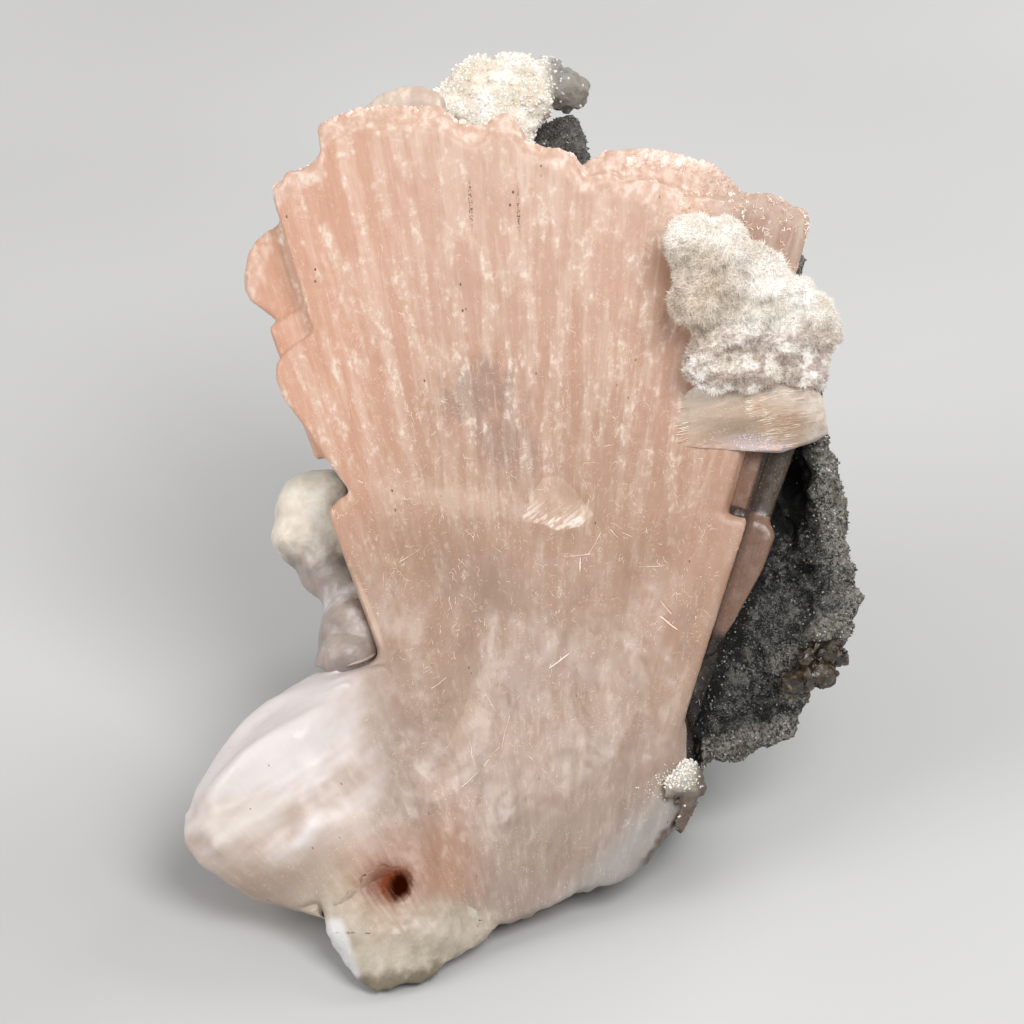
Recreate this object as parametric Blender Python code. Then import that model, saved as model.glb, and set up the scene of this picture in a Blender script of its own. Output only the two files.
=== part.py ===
"""Heulandite on basalt: a palm-sized mineral specimen that stands on its broken basalt base.

A pink sheaf of heulandite blades leans back against a lump of grey basalt. Smoky side blades
grow along its right edge, and its root swells into a pearly lobe at the lower left. A silky
blade and a white fibrous tuft cross its right shoulder, white knobs look out behind its left
edge, and the specimen's front corner is a chalky foot.

Metres, +Z up. The origin lies on the surface that the specimen stands on, under its middle.
Sizes below are in millimetres, and most places are given in the sheaf's own frame:
across (to the right), up (along the blades) and out (out of the pink face, towards the viewer).
"""

import math
import random

import bmesh
import bpy
from mathutils import Matrix, Vector, noise

MM = 0.001

# The sheaf's own frame, and how it stands on the ground.
LEAN = math.radians(30)
FACE_MIDDLE = (-1.0, -4.0, 24.8)

# The blades of the sheaf radiate from this point, below the specimen.
FAN_ACROSS = 2.9
FAN_UP = -43.5

GAP = 0.3
CUTTER_GROWTH = 0.42

# A flake has sprung from the middle of the face and left this shallow scar.
CHIP = [(1.0, 1.9, 0.4), (3.0, 2.3, 0.4), (5.4, 0.6, 0.4), (5.2, -0.7, 0.4), (1.6, -1.2, 0.4),
        (3.1, 2.1, -0.3), (5.2, 0.6, -0.42), (5.0, -0.5, -0.42), (2.6, -1.0, -0.3)]


# Scene, materials and placing


def clear_scene():
    for item in list(bpy.data.objects):
        bpy.data.objects.remove(item)


def finish(name, colour, roughness, metallic=0.0):
    """A plain Principled finish."""
    material = bpy.data.materials.new(name)
    material.use_nodes = True
    shader = material.node_tree.nodes["Principled BSDF"]
    shader.inputs["Base Color"].default_value = (*colour, 1.0)
    shader.inputs["Roughness"].default_value = roughness
    shader.inputs["Metallic"].default_value = metallic
    return material


def sheaf_frame():
    """The empty that carries everything given as across, up and out."""
    frame = bpy.data.objects.new("sheaf_frame", None)
    frame.location = Vector(FACE_MIDDLE) * MM
    frame.rotation_euler = (math.pi / 2 - LEAN, 0.0, 0.0)
    bpy.context.scene.collection.objects.link(frame)
    bpy.context.view_layer.update()
    return frame


def solid(name, mesh_data, frame):
    """A new object from a bmesh in millimetres, carried by the frame."""
    bmesh.ops.recalc_face_normals(mesh_data, faces=mesh_data.faces[:])
    bmesh.ops.scale(mesh_data, vec=(MM, MM, MM), verts=mesh_data.verts[:])
    mesh = bpy.data.meshes.new(name)
    mesh_data.to_mesh(mesh)
    mesh_data.free()
    item = bpy.data.objects.new(name, mesh)
    bpy.context.scene.collection.objects.link(item)
    item.parent = frame
    bpy.context.view_layer.update()
    return item


# Working on solids


def apply(item, kind, **settings):
    """Adds one modifier to an object and applies it."""
    modifier = item.modifiers.new(kind.title(), kind)
    for key, value in settings.items():
        setattr(modifier, key, value)
    with bpy.context.temp_override(object=item, active_object=item, selected_objects=[item]):
        bpy.ops.object.modifier_apply(modifier=modifier.name)


def combine(target, other, operation):
    """Boolean of two closed solids. The other one is used up."""
    apply(target, "BOOLEAN", operation=operation, object=other, solver="MANIFOLD")
    bpy.data.objects.remove(other)


def join_all(name, items):
    """One solid from overlapping ones."""
    whole = items[0]
    for other in items[1:]:
        combine(whole, other, "UNION")
    whole.name = name
    return whole


def grown_copy(item, growth):
    """A copy whose surface stands proud by the growth, to cut a pocket with some room in it."""
    copy = item.copy()
    copy.data = item.data.copy()
    bpy.context.scene.collection.objects.link(copy)
    if growth:
        apply(copy, "DISPLACE", mid_level=0.0, strength=growth * MM)
    return copy


def make_room(target, neighbour, growth=CUTTER_GROWTH):
    """Cuts the neighbour out of the target, with a thin gap between them."""
    combine(target, grown_copy(neighbour, growth), "DIFFERENCE")
    keep_largest(target)


def keep_largest(item):
    """Drops the crumbs that a cut leaves."""
    mesh_data = bmesh.new()
    mesh_data.from_mesh(item.data)
    unseen = set(mesh_data.verts)
    islands = []
    while unseen:
        front = [unseen.pop()]
        island = set(front)
        while front:
            vertex = front.pop()
            near = {edge.other_vert(vertex) for edge in vertex.link_edges} & unseen
            unseen -= near
            island |= near
            front.extend(near)
        islands.append(island)
    islands.sort(key=len)
    for island in islands[:-1]:
        bmesh.ops.delete(mesh_data, geom=list(island), context="VERTS")
    mesh_data.to_mesh(item.data)
    mesh_data.free()


def roughen(item, scale, height, seed, grain=None, stretch=1.0):
    """Moves the surface in and out by smooth noise of the given scale, in millimetres.

    grain is the direction along which the noise is drawn out, by the stretch.
    """
    shift = Vector((seed * 7.1, seed * 3.7, seed * 5.3))
    lengthwise = Vector(grain or (0, 0, 1)).normalized()
    moved = []
    for vertex in item.data.vertices:
        place = vertex.co - lengthwise * vertex.co.dot(lengthwise) * (1 - 1 / stretch)
        level = noise.fractal(place / (scale * MM) + shift, 0.8, 2.0, 3)
        moved.extend(vertex.co + vertex.normal * level * height * MM)
    item.data.vertices.foreach_set("co", moved)
    item.data.update()


def hull(name, points, frame):
    """The convex chunk around some points."""
    mesh_data = bmesh.new()
    for point in points:
        mesh_data.verts.new(point)
    found = bmesh.ops.convex_hull(mesh_data, input=mesh_data.verts[:])
    spare = {item for item in found["geom_interior"] if isinstance(item, bmesh.types.BMVert)}
    bmesh.ops.delete(mesh_data, geom=list(spare), context="VERTS")
    return solid(name, mesh_data, frame)


def fuse(name, items, cell):
    """Melts overlapping chunks into one skin of small cells, ready for roughening."""
    whole = items[0]
    for other in items[1:]:
        mesh_data = bmesh.new()
        mesh_data.from_mesh(whole.data)
        mesh_data.from_mesh(other.data)
        mesh_data.to_mesh(whole.data)
        mesh_data.free()
        bpy.data.objects.remove(other)
    whole.name = name
    apply(whole, "REMESH", mode="VOXEL", voxel_size=cell * MM)
    return whole


def thin_out(item, triangles):
    """Collapses a fine skin to about this many triangles."""
    apply(item, "TRIANGULATE")
    apply(item, "DECIMATE", ratio=triangles / len(item.data.polygons))
    keep_largest(item)


def lumps(name, frame, spots, triangles, rough, seed, cell=0.45):
    """A botryoidal mass: overlapping balls, each (across, up, out, radius or three radii)."""
    balls = []
    for across, up, out, radius in spots:
        radii = radius if isinstance(radius, tuple) else (radius,) * 3
        mesh_data = bmesh.new()
        place = Matrix.Translation((across, up, out)) @ Matrix.Diagonal((*radii, 1.0))
        bmesh.ops.create_icosphere(mesh_data, subdivisions=3, radius=1.0, matrix=place)
        balls.append(solid(name, mesh_data, frame))
    mass = fuse(name, balls, cell)
    for scale, height in rough:
        roughen(mass, scale, height, seed)
    thin_out(mass, triangles)
    return mass


# The blades of a sheaf


def along(points, degrees):
    """Reads a radius between (degrees, radius) points."""
    if degrees <= points[0][0]:
        return points[0][1]
    for (low, start), (high, end) in zip(points, points[1:]):
        if degrees <= high:
            return start + (end - start) * (degrees - low) / (high - low)
    return points[-1][1]


def blade(frame, crest, root, front, back, tip_back=0.0, band=0.5, drop=0.3, teeth=0.0,
          step=1.3, rib=0.05, seed=1, grow=0.0, place=None):
    """One blade: a sector whose left and right edges are the first and last point of its crest.

    crest and root are (degrees, radius) points about the sheaf's centre, degrees to the right.
    front and back are how far out its faces lie, at its root; tip_back turns its tip inwards.
    band and drop are the height and depth of the bevelled strip below the crest, teeth is how
    far the crest's little teeth stand up, and rib how far the strips of its face differ.
    """
    chance = random.Random(seed)
    if grow:
        step, teeth, rib, grow = step * 2, 0.0, 0.0, grow + 0.06
    left, right = crest[0][0], crest[-1][0]
    if not isinstance(root, (list, tuple)):
        root = [(left, root), (right, root)]
    count = max(2, round((right - left) / step))
    bevel = 0.3
    stops = [left + (right - left) * index / count for index in range(1, count)]
    if grow:
        stops += [degrees for degrees, _ in crest + list(root)]
    columns = [(left, -grow, True), (left + bevel, 0.0, False)]
    for degrees in sorted(stops):
        if columns[-1][0] + 0.2 < degrees < right - bevel - 0.2:
            columns.append((degrees, 0.0, False))
    columns += [(right - bevel, 0.0, False), (right, grow, True)]
    mesh_data = bmesh.new()
    rings = []
    for degrees, shift, at_edge in columns:
        angle = math.radians(degrees)
        outer = along(crest, degrees) + chance.uniform(-teeth, teeth) + grow
        inner = along(root, degrees) - grow
        level = front + (chance.uniform(-rib, rib) if not at_edge else -0.12) + grow
        strip = min(band + 0.1, (outer - inner) / 3)
        profile = [
            (inner, level),
            (outer - strip - grow, level),
            (outer, front - drop + grow),
            (outer - 0.3 * (front - back), back - grow),
            (inner, back - grow),
        ]
        ring = []
        for radius, out in profile:
            reach = radius * math.cos(math.radians(tip_back))
            sink = (radius - inner) * math.sin(math.radians(tip_back))
            across = reach * math.sin(angle) + shift * math.cos(angle)
            up = reach * math.cos(angle) - shift * math.sin(angle)
            ring.append(mesh_data.verts.new((across, up, out - sink)))
        rings.append(ring)
    for ring, following in zip(rings, rings[1:]):
        for index in range(len(ring)):
            after = (index + 1) % len(ring)
            mesh_data.faces.new((ring[index], ring[after], following[after], following[index]))
    mesh_data.faces.new(rings[0])
    mesh_data.faces.new(rings[-1])
    bmesh.ops.triangulate(mesh_data, faces=mesh_data.faces[:])
    home = place or Matrix.Translation((FAN_ACROSS, FAN_UP, 0.0))
    bmesh.ops.transform(mesh_data, matrix=home, verts=mesh_data.verts[:])
    return solid("blade", mesh_data, frame)


def front_blades(frame, grow):
    """The blades that make the pink face, from left to right."""
    crest_left = [(-13.3, 72.5), (-12.2, 73.1), (-11.0, 73.2), (-9.3, 73.1), (-6.3, 72.4),
                  (-5.5, 71.6), (-4.4, 70.8), (-3.0, 71.7), (-2.3, 71.4), (-1.6, 70.0)]
    crest_middle = [(-1.9, 69.8), (-0.5, 69.2), (0.6, 69.0), (1.3, 68.6), (1.8, 67.9)]
    crest_right = [(1.4, 66.9), (3.4, 67.4), (4.4, 66.9), (5.8, 67.3), (7.0, 66.9),
                   (8.4, 66.4), (11.6, 66.6)]
    crest_behind = [(1.9, 68.1), (3.0, 69.0), (5.6, 69.4), (8.0, 69.2), (9.4, 69.0),
                    (10.2, 68.3), (11.4, 67.6)]
    shoulder = [(10.6, 67.1), (11.6, 67.3), (13.2, 67.8), (14.1, 67.5), (14.6, 67.0),
                (15.2, 67.3), (15.8, 66.3)]
    ear = [(-16.7, 68.6), (-16.5, 69.3), (-15.3, 70.0), (-14.5, 69.9), (-13.6, 70.4),
           (-12.8, 70.6)]
    return [
        blade(frame, crest_left, 22.0, 0.0, -3.6, band=1.7, drop=0.9, teeth=0.17, step=0.8,
              seed=3, grow=grow),
        blade(frame, crest_middle, 22.0, -0.1, -3.4, band=0.9, drop=0.5, teeth=0.12, step=0.7,
              seed=4, grow=grow),
        blade(frame, crest_right, 22.0, -0.04, -2.6, band=0.4, drop=0.3, teeth=0.12, step=0.9,
              seed=5, grow=grow),
        blade(frame, crest_behind, 26.0, -1.0, -4.2, band=0.6, drop=0.4, teeth=0.2, step=0.7,
              seed=6, grow=grow),
        blade(frame, shoulder, 24.0, -0.6, -3.4, band=0.5, drop=0.4, teeth=0.12, step=0.7,
              seed=7, grow=grow),
        blade(frame, [(11.0, 58.0), (15.5, 57.0)], 24.0, 0.02, -2.2, seed=8, grow=grow),
        blade(frame, [(12.6, 45.0), (17.6, 45.2)], [(12.6, 24.0), (17.6, 27.0)], 0.12, -1.6,
              seed=9, grow=grow),
        blade(frame, ear, 30.0, -0.14, -3.2, band=0.6, drop=0.4, teeth=0.15, step=0.7, seed=10,
              grow=grow),
    ]


def left_blades(frame, grow):
    """The stepped blades down the left edge, and the wing that turns away behind them."""
    wing = [(-20.15, 63.4), (-19.5, 65.0), (-19.0, 65.8), (-18.1, 66.4), (-16.2, 66.9),
            (-15.4, 67.0)]
    wing_root = [(-20.15, 62.3), (-18.7, 60.0), (-17.8, 58.4), (-15.4, 55.0)]
    step_up = [(-20.2, 56.4), (-19.8, 57.5), (-19.1, 57.9), (-17.7, 58.4), (-14.5, 59.0)]
    step_up_root = [(-20.2, 54.8), (-19.6, 53.0), (-19.1, 51.4), (-18.7, 50.0), (-17.2, 46.0),
                    (-14.5, 42.0)]
    step_low = [(-20.0, 46.2), (-19.4, 46.8), (-18.4, 47.0), (-12.0, 47.2)]
    return [
        blade(frame, wing, wing_root, -2.2, -5.2, band=1.2, drop=0.5, step=0.9, seed=11,
              grow=grow),
        blade(frame, [(-19.5, 60.0), (-16.0, 60.8)], 50.0, -1.5, -4.2, seed=12, grow=grow),
        blade(frame, step_up, step_up_root, -0.24, -3.0, band=0.4, step=0.9, seed=13, grow=grow),
        blade(frame, step_low, [(-20.0, 34.0), (-12.0, 24.0)], -0.34, -3.6, band=0.4, step=1.6,
              seed=14, grow=grow),
    ]


def back_blades(frame, grow):
    """The blades behind the face, which spread backwards towards the crest."""
    second = [(-12.4, 69.8), (-9.0, 71.2), (-6.0, 70.4), (-2.0, 69.0), (0.0, 67.6), (5.0, 68.4),
              (9.6, 66.8)]
    lone = [(-10.9, 73.0), (-10.3, 74.2), (-8.4, 74.8), (-6.6, 74.6), (-6.0, 73.4)]
    third = [(-4.5, 64.6), (-2.0, 66.4), (3.0, 66.0), (7.0, 66.8), (10.0, 65.6), (12.8, 63.2)]
    fourth = [(-15.0, 62.0), (-13.0, 64.6), (-9.0, 65.8), (-5.0, 64.4), (-1.0, 65.6),
              (1.5, 64.2)]
    return [
        blade(frame, second, 24.0, -3.2, -6.0, tip_back=2.4, band=0.8, teeth=0.2, step=2.0,
              seed=15, grow=grow),
        blade(frame, lone, 34.0, -5.2, -7.6, tip_back=2.8, band=0.8, step=1.2, seed=16,
              grow=grow),
        blade(frame, third, 26.0, -5.4, -8.4, tip_back=4.2, band=1.0, drop=0.6, teeth=0.2,
              step=2.4, seed=17, grow=grow),
        blade(frame, fourth, 28.0, -5.2, -8.2, tip_back=5.6, band=1.0, drop=0.6, teeth=0.2,
              step=2.4, seed=18, grow=grow),
    ]


def side_blades(frame, grow):
    """Thin blades that stand out along the sheaf's right edge, further back than its face."""
    thumb = [(15.8, 45.4), (18.6, 45.6), (19.9, 45.5), (20.5, 44.7)]
    thumb_root = [(15.8, 34.0), (19.0, 35.6), (20.5, 42.0)]
    return [
        blade(frame, [(14.6, 52.5), (17.6, 52.5)], 40.0, -1.3, -2.9, rib=0.1, seed=31,
              grow=grow),
        blade(frame, [(16.6, 52.8), (19.6, 52.2)], 43.0, -2.1, -3.6, rib=0.1, seed=32,
              grow=grow),
        blade(frame, thumb, thumb_root, -1.7, -3.1, band=0.5, step=1.0, seed=33, grow=grow),
        blade(frame, [(15.0, 37.6), (19.3, 37.4)], [(15.0, 25.0), (20.6, 28.5)], -2.3, -3.9,
              seed=34, grow=grow),
    ]


def soft_mass(name, frame, points, cell, height, seed, triangles, grain):
    """A swelling of the sheaf: a rounded chunk with ridges drawn out along the grain."""
    mass = hull(name, points, frame)
    apply(mass, "REMESH", mode="VOXEL", voxel_size=cell * MM)
    apply(mass, "SMOOTH", factor=0.5, iterations=3)
    roughen(mass, 2.4, height, seed, grain, 5.0)
    thin_out(mass, triangles)
    return mass


def root_swellings(frame):
    """The sheaf's broken root, which bulges forwards, and the pearly lobe at the lower left."""
    root = [
        (-8.6, -3.0, -1.9), (-9.6, -14.0, 1.0), (-9.0, -21.0, 3.6), (-7.0, -26.5, 4.8),
        (-2.3, -28.6, 4.2), (-0.6, -28.8, 3.0), (-1.5, -21.0, 2.8), (3.2, -27.5, 1.8),
        (6.2, -26.2, 1.0), (8.8, -25.4, 0.2), (9.2, -17.0, 0.9), (10.9, -23.6, -0.6),
        (12.6, -20.6, -0.9), (12.8, -17.0, -0.6), (12.0, -10.0, -1.4), (13.0, -19.8, -2.6),
        (12.0, -10.0, -6.0), (12.4, -17.0, -6.4), (8.4, -24.4, -5.4), (1.0, -26.0, -5.0),
        (-9.0, -22.0, -3.0), (-9.0, -8.0, -6.6), (0.0, -2.0, -1.8), (9.0, -3.0, -1.9),
        (-6.0, -24.0, 5.2),
    ]
    upper = [
        (-13.8, -11.2, -3.0), (-15.9, -12.4, -2.0), (-18.2, -13.8, -0.5), (-19.8, -16.6, 0.5),
        (-22.2, -18.9, 1.5), (-23.1, -20.4, 2.5), (-21.8, -19.8, 4.6), (-18.6, -17.2, 6.0),
        (-15.4, -14.8, 6.4), (-12.0, -12.2, 4.6), (-8.4, -10.4, 1.2), (-21.6, -22.0, 4.0),
        (-18.0, -21.0, 5.4), (-12.5, -20.0, 5.2), (-6.0, -18.0, 2.4), (-13.0, -12.0, -7.0),
        (-18.0, -16.0, -5.0), (-20.5, -20.0, -2.0), (-8.0, -9.0, -5.0), (-7.0, -18.0, -4.0),
    ]
    lower = [
        (-23.1, -20.9, 2.2), (-23.3, -22.2, 3.0), (-22.6, -23.9, 3.2), (-20.8, -25.2, 3.0),
        (-18.7, -26.9, 2.6), (-16.0, -27.8, 2.2), (-13.0, -28.6, 2.0), (-21.8, -21.4, 5.2),
        (-19.0, -20.6, 6.6), (-15.0, -19.4, 7.2), (-10.5, -18.4, 6.0), (-5.0, -16.5, 2.9),
        (-20.0, -23.8, 6.0), (-15.5, -24.5, 7.4), (-11.0, -24.5, 7.2), (-5.0, -24.0, 5.0),
        (-15.5, -27.0, 4.6), (-11.5, -27.8, 4.6), (-20.5, -21.0, -2.0), (-17.0, -25.5, -3.0),
        (-10.0, -26.0, -4.0), (-6.0, -20.0, -4.0), (-21.0, -20.0, 2.4), (-16.0, -17.6, 4.4),
        (-10.0, -16.0, 3.6),
    ]
    slant = (0.74, 0.62, -0.2)
    return [
        soft_mass("root", frame, root, 0.6, 0.55, 21, 330, (0.05, 1.0, 0.0)),
        soft_mass("upper lobe", frame, upper, 0.6, 0.5, 22, 240, slant),
        soft_mass("lower lobe", frame, lower, 0.6, 0.5, 23, 260, slant),
    ]


def heulandite_sheaf(frame, swellings, grow=0.0):
    """All the heulandite in one piece. grow makes the bigger copy that cuts room for it."""
    parts = front_blades(frame, grow) + left_blades(frame, grow) + back_blades(frame, grow)
    parts += side_blades(frame, grow)
    for mass in swellings:
        parts.append(grown_copy(mass, grow * 1.2))
    sheaf = join_all("heulandite_sheaf", parts)
    if not grow:
        combine(sheaf, hull("chip", CHIP, frame), "DIFFERENCE")
    return sheaf


# The basalt


def in_ground_frame(frame, across, up, out):
    """A place in the sheaf's frame, in the ground's frame, in millimetres."""
    return frame.matrix_world @ (Vector((across, up, out)) * MM) / MM


def basalt_chunks(frame):
    """The matrix as a few overlapping chunks: core, right shoulder, horn, lip and base."""
    core = [
        (-9.0, -8.0, -4.5), (-12.0, 6.0, -6.0), (-11.0, 16.0, -7.5), (-5.0, 20.0, -8.0),
        (7.0, 21.0, -8.0), (16.0, 16.0, -6.0), (19.0, 8.0, -5.5), (18.0, -8.0, -6.0),
        (11.0, -17.0, -4.5), (0.0, -20.0, -3.5), (-9.0, -17.0, -2.5), (-8.0, -6.0, -24.0),
        (-9.0, 8.0, -20.0), (-7.0, 17.0, -18.0), (3.0, 21.0, -18.0), (12.0, 14.0, -20.0),
        (15.0, 0.0, -23.0), (9.0, -10.0, -29.0), (-4.0, -10.0, -30.0), (11.0, 5.0, -27.0),
        (-6.0, 5.0, -27.0), (3.0, 7.0, -29.0),
    ]
    shoulder = [
        (14.0, 12.0, -5.0), (20.2, 14.0, -5.5), (20.6, 9.0, -5.0), (20.9, 7.0, -3.8),
        (21.8, 0.8, -3.2), (23.9, -3.8, -2.8), (25.4, -6.5, -3.2), (24.4, -7.6, -3.8),
        (20.2, -12.4, -4.2), (20.0, -16.4, -5.6), (16.0, -17.2, -4.4), (13.0, -17.8, -3.4),
        (13.6, -10.0, -3.4), (16.0, -4.0, -2.9), (17.5, 12.0, -16.0), (20.0, 0.0, -16.0),
        (21.5, -6.5, -13.0), (17.0, -14.0, -15.0), (11.0, -16.0, -20.0), (20.4, 5.6, -2.6),
        (14.0, 6.0, -3.4), (9.0, 16.0, -16.0), (8.0, 8.0, -22.0), (14.0, -4.0, -22.0),
    ]
    peek = [
        (21.0, 19.2, -4.0), (21.3, 17.0, -4.0), (18.0, 18.5, -8.0), (20.6, 12.0, -5.0),
        (16.0, 12.0, -8.0), (19.0, 15.0, -9.0), (17.0, 19.0, -5.0),
    ]
    horn = [
        (-3.0, 18.0, -13.0), (0.5, 25.0, -14.0), (2.4, 29.0, -15.5), (5.3, 29.6, -16.0),
        (5.0, 26.5, -14.5), (5.9, 19.0, -13.0), (-3.0, 18.0, -21.0), (1.5, 28.0, -20.0),
        (4.6, 28.8, -20.5), (5.8, 20.0, -22.0),
    ]
    lip = [
        (9.5, -14.0, -4.0), (12.7, -17.0, -3.2), (13.0, -19.5, -4.4), (13.3, -21.2, -5.0),
        (12.0, -22.6, -5.0), (10.4, -24.4, -4.2), (8.5, -25.2, -5.6), (8.0, -18.0, -12.0),
        (13.0, -15.0, -12.0),
    ]
    base = [(-11.0, -9.0), (-3.0, -10.0), (5.0, -5.0), (10.0, 2.0), (13.0, 9.0), (14.5, 18.0),
            (9.0, 26.0), (-3.0, 28.0), (-10.5, 22.0), (-12.0, 6.0)]
    waist = [(-11.0, -5.0), (-2.0, -5.0), (8.0, 0.0), (16.0, 8.0), (17.0, 18.0), (11.0, 28.0),
             (-4.0, 30.0), (-11.0, 22.0), (-11.0, 6.0)]
    chunks = []
    for points in (core, shoulder, peek, horn, lip):
        chunks.append(hull("chunk", [in_ground_frame(frame, *p) for p in points], None))
    middle_x, middle_y = FACE_MIDDLE[:2]
    block = [(x + middle_x, y + middle_y, -3.0) for x, y in base]
    block += [(x + middle_x, y + middle_y, 8.0) for x, y in waist]
    block.append((3.0 + middle_x, 29.0 + middle_y, 18.0))
    chunks.append(hull("chunk", block, None))
    return chunks


def ball_cutter(frame, across, up, out, radii):
    """An egg-shaped cutter for the basalt's hollows."""
    mesh_data = bmesh.new()
    place = Matrix.Translation((across, up, out)) @ Matrix.Diagonal((*radii, 1.0))
    bmesh.ops.create_icosphere(mesh_data, subdivisions=2, radius=1.0, matrix=place)
    return solid("hollow", mesh_data, frame)


def cut_flat_base(item):
    """Breaks the basalt off flat where it stands."""
    mesh_data = bmesh.new()
    mesh_data.from_mesh(item.data)
    geometry = mesh_data.verts[:] + mesh_data.edges[:] + mesh_data.faces[:]
    bmesh.ops.bisect_plane(mesh_data, geom=geometry, plane_co=(0, 0, 0), plane_no=(0, 0, -1),
                           clear_outer=True)
    open_edges = [edge for edge in mesh_data.edges if edge.is_boundary]
    bmesh.ops.contextual_create(mesh_data, geom=open_edges)
    bmesh.ops.triangulate(mesh_data, faces=mesh_data.faces[:])
    bmesh.ops.recalc_face_normals(mesh_data, faces=mesh_data.faces[:])
    mesh_data.to_mesh(item.data)
    mesh_data.free()


def basalt_matrix(frame):
    recess = [
        (12.0, 5.2, -0.5), (20.0, 5.0, -0.5), (21.0, -1.0, -0.5), (23.4, -5.6, -0.5),
        (20.0, -10.0, -0.5), (19.4, -15.2, -0.5), (12.0, -16.6, -0.5), (13.0, 4.2, -6.2),
        (19.0, 4.0, -6.4), (20.2, -1.6, -4.6), (21.4, -6.2, -4.2), (18.6, -10.0, -4.8),
        (17.6, -14.2, -5.6), (11.0, -15.4, -5.0),
    ]
    hollows = [
        (20.0, 2.6, -5.0, (1.3, 2.2, 3.4)), (18.8, -1.6, -4.8, (1.6, 1.8, 2.2)),
        (16.2, -4.2, -4.6, (1.4, 1.2, 1.6)), (21.2, -11.0, -3.6, (2.4, 1.5, 2.2)),
        (15.4, -12.8, -5.2, (0.9, 0.8, 1.2)), (19.2, -14.0, -5.4, (1.0, 0.8, 1.0)),
    ]
    rock = fuse("basalt_matrix", basalt_chunks(frame), 0.7)
    combine(rock, hull("recess", recess, frame), "DIFFERENCE")
    for across, up, out, radii in hollows:
        combine(rock, ball_cutter(frame, across, up, out, radii), "DIFFERENCE")
    apply(rock, "REMESH", mode="VOXEL", voxel_size=0.6 * MM)
    roughen(rock, 9.0, 0.5, 1)
    roughen(rock, 2.4, 0.4, 2)
    thin_out(rock, 2400)
    cut_flat_base(rock)
    return rock


# The other minerals


def chalky_foot(frame):
    """The cream lump that the specimen's front corner stands on, with a rusty pit in it."""
    points = [
        (-12.9, -28.0, 4.6), (-12.9, -29.0, 5.6), (-12.2, -30.4, 6.2), (-11.8, -31.2, 6.8),
        (-10.6, -32.6, 7.8), (-9.7, -33.1, 8.5), (-8.0, -32.9, 8.0), (-5.6, -31.8, 6.6),
        (-3.5, -30.9, 5.2), (-2.2, -30.0, 4.4), (-0.9, -28.8, 3.2), (-11.4, -28.8, 8.2),
        (-10.5, -31.3, 9.2), (-7.4, -31.6, 8.8), (-5.6, -31.4, 7.2), (-12.6, -25.0, 6.6),
        (-9.5, -23.6, 7.8), (-6.0, -23.8, 7.2), (-3.6, -25.8, 6.4), (-2.4, -27.8, 5.4),
        (-12.0, -26.0, 1.0), (-9.0, -29.4, 2.6), (-4.0, -28.0, 0.5), (-8.0, -24.0, 0.0),
    ]
    foot = hull("chalky_foot", points, frame)
    apply(foot, "REMESH", mode="VOXEL", voxel_size=0.35 * MM)
    roughen(foot, 3.0, 0.2, 51)
    thin_out(foot, 300)
    combine(foot, ball_cutter(frame, -7.9, -25.8, 8.4, (0.7, 0.8, 1.6)), "DIFFERENCE")
    return foot


def side_knobs(frame):
    """The rounded cream and grey crystals that look out behind the sheaf's left edge."""
    spots = [
        (-14.2, 0.3, -8.6, (2.9, 2.5, 2.6)), (-13.0, 1.4, -8.0, (2.2, 1.7, 2.2)),
        (-14.6, -1.6, -8.4, (2.7, 2.4, 2.4)), (-12.6, -4.2, -8.0, (2.6, 2.2, 2.4)),
        (-11.0, -1.0, -8.6, (2.6, 3.4, 2.6)), (-10.8, -5.8, -7.0, (2.2, 2.0, 2.4)),
        (-11.6, -9.0, -3.8, (2.2, 1.9, 1.9)), (-11.8, -10.9, -3.0, (2.3, 1.8, 2.0)),
        (-9.8, -8.6, -4.4, (2.2, 3.0, 2.2)), (-9.6, -6.0, -5.6, (2.0, 2.6, 2.0)),
    ]
    return lumps("side_knobs", frame, spots, 380, [(4.0, 0.25)], 61)


def top_crust(frame):
    """The white crust on the basalt's horn, behind the crest."""
    spots = [
        (-4.4, 29.4, -14.6, 1.9), (-2.8, 31.0, -15.0, 2.0), (0.0, 31.6, -15.4, 1.9),
        (-2.4, 28.4, -14.0, 2.2), (1.0, 29.6, -14.4, 2.0), (2.6, 31.7, -16.2, 1.4),
        (-0.8, 26.8, -13.4, 2.2), (-5.2, 28.2, -14.8, 1.2), (-1.6, 30.0, -17.2, 2.1),
        (-0.6, 24.6, -13.6, 1.8), (4.1, 30.6, -17.0, 1.5),
    ]
    return lumps("top_crust", frame, spots, 500, [(2.2, 0.3), (1.1, 0.18)], 63)


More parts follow.
